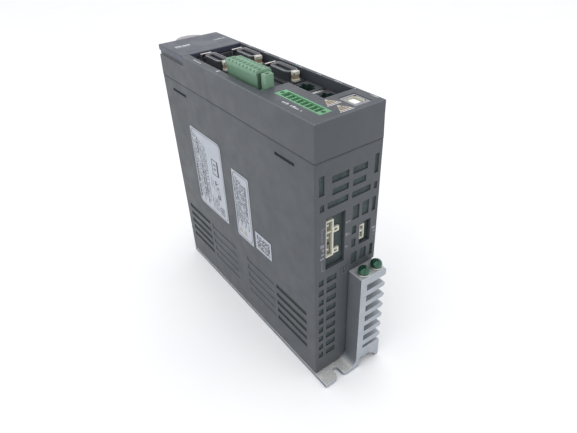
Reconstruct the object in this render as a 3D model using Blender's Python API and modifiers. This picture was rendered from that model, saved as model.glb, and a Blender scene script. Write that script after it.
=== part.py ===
"""Slim wall-mounted servo drive, built as its separate pieces.

The heatsink's back face is the mounting plane, at Z = 0, and +Z runs out to the front panel.
+Y is up when the drive hangs on its wall, so the motor outlets are on the -Y end.
The -X side carries the labels and the +X side the fins.
Every length below is in millimetres; the helpers turn them into metres.
"""

import math

import bmesh
import bpy
from mathutils import Matrix, Vector

MM = 0.001
GAP = 0.3

# Case
WIDTH = 47.0
LENGTH = 176.3
DEPTH = 185.1
SEAM_Z = 164.1
WALL = 2.2
COVER_WALL = 1.8
HALF_W = WIDTH / 2
HALF_L = LENGTH / 2
TAPER_X = 0.15
TAPER_Y = 0.3
TAPER_TOP_Z = 177.0

# Heatsink
PLATE_T = 3.0
SINK_HALF_L = 99.2
SPINE_X0 = 2.9
SPINE_X1 = 7.8
SHELF_Z = 81.1
SHELF_UNDER_Z = 74.9
FIN_PITCH = 9.06
FIN_GAP = 5.3
FIN_GAPS = 6
LAST_GAP = (16.6, 20.0)
FILLET = 6.0
TRENCH_Z = 8.4
MOUNT_X = -10.4
MOUNT_SLOT_R = 2.25
MOUNT_Y = 93.4
FAR_TAB_X = -17.0

# Front panel
CAP_Y = 50.0
CAP_Z = 181.0
GROOVE_H = 2.6
GROOVE_X = -22.2
RECESS_Z = 177.1
RECESS_X = (-18.2, 21.0)
RECESS_Y = (-35.3, 50.0)
RECESS_STEP_X = 0.4
RECESS_NEAR_Y = -66.0
TUB_WALL = 1.2

# Connectors
PITCH = 3.81
POLES = 8
HEADER_X = -11.5
HEADER_FLOOR_Z = 173.1
PLUG_X = (-15.7, -5.5)
PLUG_Y = (-34.6, 6.4)
PLUG_TOP_Z = 193.2
POLE_FIRST_Y = -25.9
NEAR_LUG = 4.2
FAR_LUG = 3.7
LUG_HALF_X = 2.7
LUG_GROOVE = 2.6
LUG_HOLE_R = 1.4
IO_X = -10.4
IO_Y = -61.7
PORT_PLACES = {"a": (-6.2, 34.6), "b": (14.7, 29.6), "c": (14.7, -10.2)}
PORT_LATCHES = (
    # (low x, high x, low y, high y) about the port's centre: a block at its near end, a lip at its far end
    (-2.3, 2.3, -14.0, -10.7),
    (-5.6, 2.2, 10.7, 12.1),
)
RJ45_PLACES = (-35.3, -54.4)
USB_PLACE = (11.6, -77.2)

# Ground screws
GROUND_X = (8.6, 18.8)
GROUND_Y = -94.8

# Boards
BOARD_T = 1.6
POWER_BOARD_X = -19.5
CONTROL_BOARD_X = 3.4


def new_collection(name):
    collection = bpy.data.collections.new(name)
    bpy.context.scene.collection.children.link(collection)
    return collection


for leftover in list(bpy.data.objects):
    bpy.data.objects.remove(leftover, do_unlink=True)
PARTS = new_collection("servo_drive")
CUTTERS = new_collection("cutters")


# ---------------------------------------------------------------- helpers


def material(name, colour, roughness, metallic=0.0):
    made = bpy.data.materials.new(name)
    made.use_nodes = True
    shader = made.node_tree.nodes["Principled BSDF"]
    shader.inputs["Base Color"].default_value = (*colour, 1.0)
    shader.inputs["Roughness"].default_value = roughness
    shader.inputs["Metallic"].default_value = metallic
    made.diffuse_color = (*colour, 1.0)
    return made


def place(name, mesh, collection, at=(0, 0, 0)):
    made = bpy.data.objects.new(name, mesh)
    made.location = Vector(at) * MM
    collection.objects.link(made)
    if collection is CUTTERS:
        made.hide_render = True
        made.display_type = "WIRE"
    return made


def mesh_from(name, build):
    mesh = bpy.data.meshes.new(name)
    shape = bmesh.new()
    build(shape)
    bmesh.ops.recalc_face_normals(shape, faces=shape.faces)
    shape.to_mesh(mesh)
    shape.free()
    return mesh


def boxes(name, bounds, collection, at=(0, 0, 0)):
    """One object holding a box for each (low corner, high corner), which must not touch."""

    def build(shape):
        for low, high in bounds:
            low, high = Vector(low), Vector(high)
            size = Matrix.Diagonal((high - low) * MM).to_4x4()
            bmesh.ops.create_cube(shape, matrix=Matrix.Translation((low + high) / 2 * MM) @ size)

    return place(name, mesh_from(name, build), collection, at)


def box(name, low, high, collection=PARTS):
    """A box whose origin is at its centre."""
    low, high = Vector(low), Vector(high)
    centre = (low + high) / 2
    return boxes(name, [(low - centre, high - centre)], collection, centre)


def turn_to(axis):
    return Vector((0, 0, 1)).rotation_difference(Vector(axis)).to_matrix().to_4x4()


def rods(name, ends, collection, at=(0, 0, 0), sides=24):
    """One object holding a round rod for each (centre of the base, axis, radius, length)."""

    def build(shape):
        for base, axis, radius, length in ends:
            axis = Vector(axis)
            middle = (Vector(base) + axis * length / 2) * MM
            bmesh.ops.create_cone(
                shape,
                cap_ends=True,
                segments=sides,
                radius1=radius * MM,
                radius2=radius * MM,
                depth=length * MM,
                matrix=Matrix.Translation(middle) @ turn_to(axis),
            )

    made = place(name, mesh_from(name, build), collection, at)
    smooth(made)
    return made


def smooth(made, angle=40):
    made.data.shade_smooth()
    made.data.set_sharp_from_angle(angle=math.radians(angle))


def arc(centre, radius, start, end, steps):
    """Points of an arc, with its angles in degrees."""
    found = []
    for step in range(steps + 1):
        angle = math.radians(start + (end - start) * step / steps)
        found.append((centre[0] + radius * math.cos(angle), centre[1] + radius * math.sin(angle)))
    return found


def plate(name, outline, plane, low, high, collection=PARTS, holes=()):
    """A flat outline given in XY, XZ or YZ, made solid from low to high along the third axis."""
    curve = bpy.data.curves.new(name, "CURVE")
    curve.dimensions = "2D"
    curve.fill_mode = "BOTH"
    curve.extrude = (high - low) / 2 * MM
    for loop in (outline, *holes):
        spline = curve.splines.new("POLY")
        spline.points.add(len(loop) - 1)
        spline.use_cyclic_u = True
        for point, (a, b) in zip(spline.points, loop):
            point.co = (a * MM, b * MM, 0, 1)
    drawn = bpy.data.objects.new(name + "_outline", curve)
    middle = (low + high) / 2 * MM
    frames = {
        "XY": Matrix(((1, 0, 0, 0), (0, 1, 0, 0), (0, 0, 1, middle), (0, 0, 0, 1))),
        "XZ": Matrix(((1, 0, 0, 0), (0, 0, -1, middle), (0, 1, 0, 0), (0, 0, 0, 1))),
        "YZ": Matrix(((0, 0, 1, middle), (1, 0, 0, 0), (0, 1, 0, 0), (0, 0, 0, 1))),
    }
    drawn.matrix_world = frames[plane]
    bpy.context.scene.collection.objects.link(drawn)
    bpy.context.view_layer.update()
    graph = bpy.context.evaluated_depsgraph_get()
    mesh = bpy.data.meshes.new_from_object(drawn.evaluated_get(graph))
    mesh.transform(drawn.matrix_world)
    bpy.data.objects.remove(drawn, do_unlink=True)
    bpy.data.curves.remove(curve)
    shape = bmesh.new()
    shape.from_mesh(mesh)
    bmesh.ops.remove_doubles(shape, verts=shape.verts, dist=1e-6)
    bmesh.ops.recalc_face_normals(shape, faces=shape.faces)
    shape.to_mesh(mesh)
    shape.free()
    mesh.name = name
    return place(name, mesh, collection)


def boolean(target, other, operation):
    made = target.modifiers.new(other.name, "BOOLEAN")
    made.operation = operation
    made.object = other
    made.solver = "EXACT"


def cut(target, cutter):
    boolean(target, cutter, "DIFFERENCE")


def join(target, extra):
    boolean(target, extra, "UNION")


def cut_boxes(target, name, bounds):
    cut(target, boxes(name, bounds, CUTTERS))


def join_box(target, name, low, high):
    join(target, box(name, low, high, CUTTERS))


def bevel(target, width, segments=2, angle=40):
    made = target.modifiers.new("edges", "BEVEL")
    made.width = width * MM
    made.segments = segments
    made.limit_method = "ANGLE"
    made.angle_limit = math.radians(angle)
    made.use_clamp_overlap = True


def dress(made, finish):
    made.data.materials.clear()
    made.data.materials.append(finish)
    return made


# ---------------------------------------------------------------- materials

CASE_GREY = material("case_grey", (0.115, 0.122, 0.140), 0.48)
COVER_GREY = material("cover_grey", (0.122, 0.128, 0.150), 0.46)
CAP_GREY = material("cap_blue_grey", (0.125, 0.132, 0.175), 0.30)
TAB_SMOKE = material("tab_smoke", (0.22, 0.20, 0.21), 0.35)
ALUMINIUM = material("heatsink_aluminium", (0.42, 0.44, 0.48), 0.42, 0.9)
NICKEL = material("nickel_plate", (0.70, 0.69, 0.66), 0.25, 1.0)
TIN_SHIELD = material("tin_shield", (0.66, 0.66, 0.64), 0.30, 1.0)
BLACK_INSERT = material("black_insulator", (0.030, 0.030, 0.034), 0.50)
TERMINAL_GREEN = material("terminal_green", (0.20, 0.36, 0.23), 0.50)
HEADER_GREEN = material("header_green", (0.17, 0.42, 0.22), 0.48)
IVORY = material("ivory_nylon", (0.72, 0.71, 0.62), 0.42)
GROUND_GREEN = material("ground_green", (0.02, 0.13, 0.06), 0.22, 0.4)
WASHER_STEEL = material("washer_steel", (0.55, 0.57, 0.52), 0.32, 1.0)
SCREW_STEEL = material("screw_steel", (0.60, 0.60, 0.58), 0.30, 1.0)
BOARD_GREEN = material("board_green", (0.03, 0.16, 0.07), 0.45)
SLEEVE_BLACK = material("capacitor_sleeve", (0.035, 0.035, 0.05), 0.35)
MODULE_BLACK = material("epoxy_black", (0.025, 0.025, 0.028), 0.55)
RELAY_BLACK = material("relay_case", (0.04, 0.04, 0.05), 0.40)
COPPER = material("enamelled_copper", (0.45, 0.17, 0.07), 0.30, 0.8)
FERRITE = material("ferrite", (0.07, 0.07, 0.075), 0.6)
PAPER = material("label_paper", (0.52, 0.55, 0.66), 0.55)


# ---------------------------------------------------------------- heatsink


def sink_section():
    """The extrusion's section in X and Z, counterclockwise from its lower left corner."""
    right = HALF_W
    points = [(-HALF_W, 0), (5.4, 0), (5.4, TRENCH_Z), (13.8, TRENCH_Z), (20.2, 3.0), (20.2, 0.9)]
    points += arc((21.1, 0.9), 0.9, 180, 270, 3)
    points += arc((right - 1.2, 1.2), 1.2, -90, 0, 4)
    points += arc((right - 2.2, LAST_GAP[0] - 2.2), 2.2, 0, 90, 5)
    points += [(SPINE_X1, LAST_GAP[0]), (SPINE_X1, LAST_GAP[1])]
    for number in reversed(range(FIN_GAPS)):
        gap_top = SHELF_UNDER_Z - number * FIN_PITCH
        gap_low = gap_top - FIN_GAP
        fin_low = LAST_GAP[1] if number == FIN_GAPS - 1 else gap_top - FIN_PITCH
        tip = (gap_low - fin_low) / 2
        points += arc((right - tip, fin_low + tip), tip, -90, 90, 6)
        points += [(SPINE_X1, gap_low), (SPINE_X1, gap_top)]
    edge = (SHELF_Z - SHELF_UNDER_Z) / 2 - 0.6
    points += arc((right - 1.2, SHELF_UNDER_Z + 1.2), 1.2, -90, 0, 3)
    points += arc((right - edge, SHELF_Z - edge), edge, 0, 90, 4)
    points += arc((SPINE_X0 + 0.6, SHELF_Z - 0.6), 0.6, 90, 180, 2)
    points += arc((SPINE_X0 - FILLET, PLATE_T + FILLET), FILLET, 0, -90, 6)
    points += [(-HALF_W, PLATE_T)]
    return points


def slot_outline(end_sign):
    """A U slot open at the flange's end, with its mouth rounded outwards."""
    left, right = MOUNT_X - MOUNT_SLOT_R, MOUNT_X + MOUNT_SLOT_R
    mouth_left, mouth_right = 3.4, 2.6
    reach = SINK_HALF_L + 1.0
    points = arc((MOUNT_X, MOUNT_Y), MOUNT_SLOT_R, 360, 180, 12)
    points += arc((left - mouth_left, SINK_HALF_L - mouth_left), mouth_left, 0, 90, 5)
    points += [(left - mouth_left, reach), (right + mouth_right, reach)]
    points += arc((right + mouth_right, SINK_HALF_L - mouth_right), mouth_right, 90, 180, 5)
    return [(x, y * end_sign) for x, y in points]


def build_heatsink():
    sink = dress(plate("heatsink", sink_section(), "XZ", -SINK_HALF_L, SINK_HALF_L), ALUMINIUM)
    for tag, sign in (("lower", -1), ("upper", 1)):
        cut(sink, plate(f"mount_slot_{tag}", slot_outline(sign), "XY", -1, PLATE_T + 1, CUTTERS))
    inset = HALF_L + GAP
    corner = ((-HALF_W - 1, inset, -1), (FAR_TAB_X, SINK_HALF_L + 1, PLATE_T + 1))
    cut_boxes(sink, "upper_flange_corner", [corner])
    holes = [((x, GROUND_Y, SHELF_UNDER_Z - 1), (0, 0, 1), 2.3, 8.0) for x in GROUND_X]
    cut(sink, rods("ground_holes", holes, CUTTERS, sides=20))


# ---------------------------------------------------------------- rear housing

END_VENTS = (
    # (low x, high x, low z, high z) on both end faces
    (-20.8, -17.2, 144.1, 155.9),
    (-20.0, -17.2, 134.0, 138.3),
    (-12.1, -0.4, 149.3, 153.5),
    (2.4, 12.9, 149.3, 153.5),
    (-11.8, -0.4, 141.8, 145.7),
    (2.7, 12.1, 141.8, 145.7),
    (-14.9, -0.4, 134.3, 138.3),
    (2.4, 16.1, 134.3, 138.3),
    (18.0, 21.0, 144.1, 155.9),
    (18.6, 21.0, 134.0, 138.3),
    (3.5, 8.4, 119.1, 128.5),
    (10.6, 15.7, 119.1, 128.5),
    (18.2, 21.0, 119.1, 128.5),
    (3.5, 6.7, 108.9, 114.4),
    (3.5, 6.7, 99.1, 105.0),
    (3.7, 8.2, 86.0, 94.6),
    (10.8, 15.7, 86.0, 94.6),
    (18.4, 21.0, 86.0, 94.6),
)
GRILLE_ROWS = 9
GRILLE_TOP_Z = 83.6
GRILLE_PITCH = 8.0
GRILLE_H = 4.6
GRILLE_X = ((-20.8, -17.2), (-14.9, -7.4))
MOTOR_CUTOUT = (-15.9, -2.0, 92.4, 128.5)
AUX_CUTOUT = (9.4, 18.0, 98.7, 114.4)
INPUT_CUTOUT = (-15.9, -2.0, 88.4, 128.5)
SIDE_SLOT_Z = (23.9, 31.2, 38.5, 45.8, 53.4)
SIDE_SLOT_H = 3.5
SIDE_OPEN_Y = ((46.6, 80.7), (-79.1, -46.2))
SIDE_BLIND_Y = ((6.3, 42.3), (-43.1, -9.4))
BLIND_DEPTH = 0.35
LATCH_Y = ((53.3, 73.6), (-71.3, -53.3))
LATCH_Z = (155.8, 157.8)
BOTTOM_NOTCH_Y = ((-59.0, -47.0), (-84.0, -75.5))


def housing_section(inset, low_z, high_z, right_low):
    """The housing's section: narrow beside the heatsink's spine, full width above its shelf."""
    left, right = -HALF_W + inset, HALF_W - inset
    step_z = SHELF_Z + GAP + inset
    return [
        (left, low_z),
        (right_low - 5.6, low_z),
        (right_low, low_z + 5.6),
        (right_low, step_z),
        (right, step_z),
        (right, high_z),
        (left, high_z),
    ]


def end_openings(cutouts):
    rectangles = list(END_VENTS) + list(cutouts)
    for row in range(GRILLE_ROWS):
        z = GRILLE_TOP_Z - row * GRILLE_PITCH
        rectangles += [(x0, x1, z - GRILLE_H / 2, z + GRILLE_H / 2) for x0, x1 in GRILLE_X]
    return rectangles


def build_rear_housing():
    low, top, side = PLATE_T + GAP, SEAM_Z - GAP, SPINE_X0 - GAP
    outer = housing_section(0, low, top, side)
    housing = dress(plate("rear_housing", outer, "XZ", -HALF_L, HALF_L), CASE_GREY)
    bevel(housing, 0.7, 2, 50)
    inner = housing_section(WALL, low - 5, top + 5, side + 5)
    cut(housing, plate("housing_inside", inner, "XZ", -HALF_L + WALL, HALF_L - WALL, CUTTERS))
    ends = []
    for x0, x1, z0, z1 in end_openings((MOTOR_CUTOUT, AUX_CUTOUT)):
        ends.append(((x0, -HALF_L - 1, z0), (x1, -HALF_L + WALL + 1, z1)))
    for x0, x1, z0, z1 in end_openings((INPUT_CUTOUT,)):
        ends.append(((x0, HALF_L - WALL - 1, z0), (x1, HALF_L + 1, z1)))
    cut_boxes(housing, "end_openings", ends)
    sides = []
    for z in SIDE_SLOT_Z:
        z0, z1 = z - SIDE_SLOT_H / 2, z + SIDE_SLOT_H / 2
        sides += [((-HALF_W - 1, y0, z0), (-HALF_W + WALL + 1, y1, z1)) for y0, y1 in SIDE_OPEN_Y]
        sides += [((-HALF_W - 1, y0, z0), (-HALF_W + BLIND_DEPTH, y1, z1)) for y0, y1 in SIDE_BLIND_Y]
    for y0, y1 in LATCH_Y:
        sides.append(((-HALF_W - 1, y0, LATCH_Z[0]), (-HALF_W + WALL + 1, y1, LATCH_Z[1])))
        sides.append(((HALF_W - WALL - 1, y0, LATCH_Z[0]), (HALF_W + 1, y1, LATCH_Z[1])))
    for y0, y1 in BOTTOM_NOTCH_Y:
        sides.append(((-HALF_W - 1, y0, 0), (-HALF_W + WALL + 1, y1, low + 1.0)))
    cut_boxes(housing, "side_openings", sides)


# ---------------------------------------------------------------- front cover and cap


def recess_outline(grow):
    left, right = RECESS_X[0] - grow, RECESS_X[1] + grow
    step = RECESS_STEP_X - grow
    return [
        (left, RECESS_Y[0] - grow),
        (step, RECESS_Y[0] - grow),
        (step, RECESS_NEAR_Y - grow),
        (right, RECESS_NEAR_Y - grow),
        (right, RECESS_Y[1] + grow),
        (left, RECESS_Y[1] + grow),
    ]


def build_front_cover():
    cover = dress(box("front_cover", (-HALF_W, -HALF_L, SEAM_Z), (HALF_W, HALF_L, DEPTH)), COVER_GREY)
    shape = bmesh.new()
    shape.from_mesh(cover.data)
    waist = (TAPER_TOP_Z - (SEAM_Z + DEPTH) / 2) * MM
    bmesh.ops.bisect_plane(
        shape,
        geom=shape.verts[:] + shape.edges[:] + shape.faces[:],
        plane_co=(0, 0, waist),
        plane_no=(0, 0, 1),
    )
    for vert in shape.verts:
        if vert.co.z > waist - MM:
            vert.co.x *= 1 - TAPER_X / HALF_W
            vert.co.y *= 1 - TAPER_Y / HALF_L
    shape.to_mesh(cover.data)
    shape.free()
    bevel(cover, 0.45, 2, 50)
    inside_x = HALF_W - TAPER_X - COVER_WALL
    inside_y = HALF_L - TAPER_Y - COVER_WALL
    split = CAP_Y - COVER_WALL
    hollow = ((-inside_x, -inside_y, SEAM_Z - 5), (inside_x, split, DEPTH - COVER_WALL))
    cut_boxes(cover, "cover_inside", [hollow])
    hollow = ((-inside_x, split - 1, SEAM_Z - 5), (inside_x, inside_y, CAP_Z - COVER_WALL))
    cut_boxes(cover, "cover_inside_cap", [hollow])
    tub_low = RECESS_Z - 1.5
    join(cover, plate("recess_tub", recess_outline(TUB_WALL), "XY", tub_low, DEPTH - 1, CUTTERS))
    cut(cover, plate("recess", recess_outline(0), "XY", RECESS_Z, DEPTH + 5, CUTTERS))
    cut_boxes(cover, "cap_seat", [((-HALF_W - 1, CAP_Y, CAP_Z), (HALF_W + 1, HALF_L + 1, DEPTH + 1))])
    groove = ((-HALF_W - 1, CAP_Y, CAP_Z - GROOVE_H), (GROOVE_X, HALF_L + 1, CAP_Z + 1))
    cut_boxes(cover, "cap_groove", [groove])
    openings = []
    for x, y in PORT_PLACES.values():
        openings.append(((x - 5.6, y - 10.8, tub_low - 1), (x + 5.6, y + 10.8, RECESS_Z + 1)))
    for y in RJ45_PLACES:
        openings.append(((5.6, y - 8.2, tub_low - 1), (19.9, y + 8.2, RECESS_Z + 1)))
    plug_low, plug_high = PLUG_Y[0] - 0.6, PLUG_Y[1] + 0.6
    openings.append(((HEADER_X - 4.5, plug_low, tub_low - 1), (HEADER_X + 4.5, plug_high, RECESS_Z + 1)))
    usb_x, usb_y = USB_PLACE
    openings.append(((usb_x - 5.9, usb_y - 7.0, DEPTH - 3), (usb_x + 5.9, usb_y + 7.0, DEPTH + 1)))
    openings.append(((IO_X - 4.2, IO_Y - 19.6, DEPTH - 3), (IO_X + 4.2, IO_Y + 19.6, DEPTH + 1)))
    cut_boxes(cover, "panel_openings", openings)


def build_front_cap():
    half_x = HALF_W - TAPER_X - 0.1
    far_y = HALF_L - TAPER_Y - 0.1
    cap = dress(box("front_cap", (-half_x, CAP_Y + GAP, CAP_Z + GAP), (half_x, far_y, DEPTH)), CAP_GREY)
    bevel(cap, 0.5, 2, 50)
    reach, half = 6.6, 10.2
    radius = (half * half + reach * reach) / (2 * reach)
    spread = math.degrees(math.asin(half / radius))
    root = far_y + GAP
    outline = arc((0.6, root + reach - radius), radius, 90 - spread, 90 + spread, 14)
    tab = dress(plate("cap_thumb_tab", outline, "XY", DEPTH - 3.4, DEPTH - 0.2), TAB_SMOKE)
    bevel(tab, 0.6, 2, 50)


# ---------------------------------------------------------------- front connectors


def d_outline(width, height, radius, slant=10.0):
    """A D-sub outline about its centre, long in Y and wider at +X."""
    lean = height / 2 * math.tan(math.radians(slant))
    wide, narrow = width / 2, width / 2 - 2 * lean
    x = height / 2
    corners = (
        ((x - radius, wide - radius * 1.1), 0, 90 + slant),
        ((-x + radius, narrow - radius * 0.9), 90 + slant, 180),
        ((-x + radius, -narrow + radius * 0.9), 180, 270 - slant),
        ((x - radius, -wide + radius * 1.1), 270 - slant, 360),
    )
    points = []
    for centre, start, end in corners:
        points += arc(centre, radius, start, end, 4)
    return points


def moved(outline, x, y):
    return [(a + x, b + y) for a, b in outline]


def build_port(tag, x, y):
    """A shielded D port: a flanged shell, the insulator inside it, and a latch block past each end."""
    flange_low, flange_high, rim = RECESS_Z + GAP, RECESS_Z + 1.5, DEPTH - 0.3
    wall = moved(d_outline(20.6, 8.4, 2.6), x, y)
    shell = dress(plate(f"port_{tag}_shell", wall, "XY", flange_low, rim), TIN_SHIELD)
    join_box(shell, f"port_{tag}_flange", (x - 6.2, y - 13.6, flange_low), (x + 6.2, y + 13.6, flange_high))
    mouth = moved(d_outline(19.5, 7.4, 2.2), x, y)
    cut(shell, plate(f"port_{tag}_mouth", mouth, "XY", flange_low - 1, rim + 1, CUTTERS))
    face = moved(d_outline(18.9, 6.8, 2.0), x, y)
    insert = dress(plate(f"port_{tag}_insert", face, "XY", RECESS_Z - 5, rim - 0.4), BLACK_INSERT)
    back_low, back_high = RECESS_Z - 11, RECESS_Z - 0.1
    join_box(insert, f"port_{tag}_back", (x - 5.2, y - 10.4, back_low), (x + 5.2, y + 10.4, back_high))
    for number, (x0, x1, y0, y1) in enumerate(PORT_LATCHES, start=1):
        name = f"port_{tag}_latch_{number}"
        latch = box(name, (x + x0, y + y0, flange_high + GAP), (x + x1, y + y1, DEPTH))
        window = ((x - 1.4, y + y0 - 1, 180.6), (x + 1.4, y + y1 + 1, 182.8))
        cut_boxes(dress(latch, NICKEL), name + "_window", [window])


def build_rj45(number, y):
    x0, x1, top = 6.0, 19.5, RECESS_Z + 2.0
    jack = dress(box(f"rj45_jack_{number}", (x0, y - 7.8, top - 18), (x1, y + 7.8, top)), TIN_SHIELD)
    mouth = [
        (x0 + 2.6, y - 5.9),
        (x0 + 9.4, y - 5.9),
        (x0 + 9.4, y - 3.0),
        (x0 + 11.6, y - 3.0),
        (x0 + 11.6, y + 3.0),
        (x0 + 9.4, y + 3.0),
        (x0 + 9.4, y + 5.9),
        (x0 + 2.6, y + 5.9),
    ]
    cut(jack, plate(f"rj45_mouth_{number}", mouth, "XY", top - 12.5, top + 1, CUTTERS))
    tongue = (x0 + 2.9, y - 4.4, top - 13.0), (x0 + 4.3, y + 4.4, top - 4.0)
    join_box(jack, f"rj45_contacts_{number}", *tongue)


def build_usb():
    x, y = USB_PLACE
    top, low = DEPTH - 0.2, DEPTH - 16.4
    shell = dress(box("usb_shell", (x - 5.5, y - 6.6, low), (x + 5.5, y + 6.6, top)), IVORY)
    bevel(shell, 0.5, 1, 50)
    cut_boxes(shell, "usb_mouth", [((x - 4.2, y - 4.4, low + 4), (x + 4.2, y + 4.4, top + 1))])
    tongue = box("usb_tongue", (x - 1.6, y - 2.8, low + 4 + GAP), (x + 1.6, y + 2.8, top - 1.2))
    bevel(dress(tongue, IVORY), 0.3, 1, 50)


def build_io_header():
    """The flush header: a screw flange at each end and eight pins in an open trough."""
    y0, y1 = IO_Y - 19.2, IO_Y + 19.2
    top, low = DEPTH - 0.1, HEADER_FLOOR_Z
    header = dress(box("io_header", (IO_X - 3.9, y0, low), (IO_X + 3.9, y1, top)), HEADER_GREEN)
    half = POLES * PITCH / 2
    trough = ((IO_X - 2.9, IO_Y - half, low + 1.6), (IO_X + 2.9, IO_Y + half, top + 1))
    cut_boxes(header, "io_trough", [trough])
    nuts = [((IO_X, IO_Y + s * 17.1, low + 4), (0, 0, 1), 1.35, 12) for s in (-1, 1)]
    cut(header, rods("io_nuts", nuts, CUTTERS, sides=12))
    for number in range(POLES):
        y = IO_Y + (number - (POLES - 1) / 2) * PITCH
        pin = (IO_X - 0.5, y - 0.5, low + 1), (IO_X + 0.5, y + 0.5, top - 2.2)
        join_box(header, f"io_pin_{number + 1}", *pin)


def pole_y(number):
    return POLE_FIRST_Y + number * PITCH


def lug_y():
    return PLUG_Y[0] + NEAR_LUG / 2, PLUG_Y[1] - FAR_LUG / 2


def build_plug_header():
    """The trough that the pluggable terminal block goes into, on the terminal board."""
    low, top = HEADER_FLOOR_Z, DEPTH - 4.4
    header = dress(
        box("plug_header", (HEADER_X - 4.1, PLUG_Y[0] - 0.2, low), (HEADER_X + 4.1, PLUG_Y[1] + 0.2, top)),
        HEADER_GREEN,
    )
    inside_y0, inside_y1 = PLUG_Y[0] + NEAR_LUG + 1.2, PLUG_Y[1] - FAR_LUG - 0.1
    trough = ((HEADER_X - 3.1, inside_y0, low + 1.4), (HEADER_X + 3.1, inside_y1, top + 1))
    cut_boxes(header, "plug_trough", [trough])
    nuts = [((HEADER_X, y, low + 3), (0, 0, 1), 1.6, 12) for y in lug_y()]
    cut(header, rods("plug_nuts", nuts, CUTTERS, sides=12))
    for number in range(POLES):
        y = pole_y(number)
        pin = (HEADER_X - 0.5, y - 0.5, low + 1), (HEADER_X + 0.5, y + 0.5, top - 0.6)
        join_box(header, f"plug_pin_{number + 1}", *pin)


def build_terminal_plug():
    """The pluggable block: wire entries on top, clamp screws on its +X side, a screw lug at each end."""
    seat = DEPTH - 4.4 + GAP
    x0, x1 = PLUG_X
    groove_low = PLUG_Y[0] + NEAR_LUG
    body_low = groove_low + LUG_GROOVE
    body = box("terminal_plug", (x0, body_low, seat), (x1, PLUG_Y[1] - FAR_LUG, PLUG_TOP_Z))
    plug = dress(body, TERMINAL_GREEN)
    lug_x0, lug_x1 = HEADER_X - LUG_HALF_X, HEADER_X + LUG_HALF_X
    join_box(plug, "near_lug", (lug_x0, PLUG_Y[0], seat), (lug_x1, groove_low, PLUG_TOP_Z))
    join_box(plug, "lug_web", (lug_x0, groove_low - 1, seat), (lug_x1, body_low + 1, seat + 1.4))
    join_box(plug, "far_lug", (x0, PLUG_Y[1] - FAR_LUG - 1, seat), (lug_x1, PLUG_Y[1], PLUG_TOP_Z))
    nose_y0, nose_y1 = groove_low + 1.5, PLUG_Y[1] - FAR_LUG - 0.4
    nose_low, nose_high = HEADER_FLOOR_Z + 1.8, seat + 1
    join_box(plug, "plug_nose", (HEADER_X - 2.75, nose_y0, nose_low), (HEADER_X + 2.75, nose_y1, nose_high))
    sockets = []
    entries = []
    for number in range(POLES):
        y = pole_y(number)
        sockets.append(((HEADER_X - 1.0, y - 1.0, HEADER_FLOOR_Z), (HEADER_X + 1.0, y + 1.0, seat + 0.9)))
        entries.append(((x0 + 2.4, y - 1.4, PLUG_TOP_Z - 6.0), (x0 + 5.6, y + 1.4, PLUG_TOP_Z + 1)))
    cut_boxes(plug, "plug_sockets", sockets)
    cut_boxes(plug, "wire_entries", entries)
    lugs = [((HEADER_X, y, seat - 2), (0, 0, 1), LUG_HOLE_R, 16) for y in lug_y()]
    cut(plug, rods("lug_holes", lugs, CUTTERS, sides=12))
    clamp_z = PLUG_TOP_Z - 4.2
    clamps = [((x1 - 2.9, pole_y(n), clamp_z), (1, 0, 0), 1.5, 4) for n in range(POLES)]
    cut(plug, rods("clamp_holes", clamps, CUTTERS, sides=12))
    for number in range(POLES):
        y = pole_y(number)
        at = (x1 - 2.5, y, clamp_z)
        shaft = [((0, 0, 0), (1, 0, 0), 1.15, 2.0)]
        screw = dress(rods(f"clamp_screw_{number + 1}", shaft, PARTS, at, sides=12), SCREW_STEEL)
        slot = ((x1 - 1.0, y - 2, clamp_z - 0.2), (x1 + 1, y + 2, clamp_z + 0.2))
        cut_boxes(screw, f"clamp_slot_{number + 1}", [slot])
    for number, y in enumerate(lug_y(), start=1):
        top, low = PLUG_TOP_Z - 1.2, seat - 2.5
        name = f"flange_screw_{number}"
        shaft = [((0, 0, 0), (0, 0, 1), LUG_HOLE_R - GAP, top - low)]
        screw = dress(rods(name, shaft, PARTS, (HEADER_X, y, low), sides=12), SCREW_STEEL)
        slot = ((HEADER_X - 2, y - 0.25, top - 0.9), (HEADER_X + 2, y + 0.25, top + 1))
        cut_boxes(screw, f"{name}_slot", [slot])


# ---------------------------------------------------------------- end connectors


def build_power_connector(name, end, low_z, poles, pole_pitch):
    """An ivory power header facing out of one end: an open shroud, square pins and two latch loops."""
    x0, x1 = -15.7, -9.8
    high_z = low_z + poles * pole_pitch
    face, back = end * (HALF_L - 0.7), end * (HALF_L - 14.0)
    inner = end * (HALF_L - 10.0)
    y0, y1 = sorted((face, back))
    body = dress(box(name, (x0, y0, low_z), (x1, y1, high_z)), IVORY)
    m0, m1 = sorted((inner, face + end))
    cut_boxes(body, name + "_mouth", [((x0 + 0.9, m0, low_z + 0.9), (x1 - 0.9, m1, high_z - 0.9))])
    for number in range(poles):
        z = low_z + (number + 0.5) * pole_pitch
        p0, p1 = sorted((inner - end * 0.5, face - end * 1.5))
        join_box(body, f"{name}_pin_{number + 1}", (x0 + 2.4, p0, z - 0.6), (x1 - 2.3, p1, z + 0.6))
    for number, z in enumerate((low_z + 0.6, high_z - 9.8), start=1):
        e0, e1 = sorted((face - end * 0.3, face - end * 6.0))
        join_box(body, f"{name}_ear_{number}", (x1 - 0.5, e0, z), (-5.6, e1, z + 3.4))
        cut_boxes(body, f"{name}_loop_{number}", [((x1 + 0.8, e0 - 1, z + 0.9), (-6.6, e1 + 1, z + 2.5))])


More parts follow.
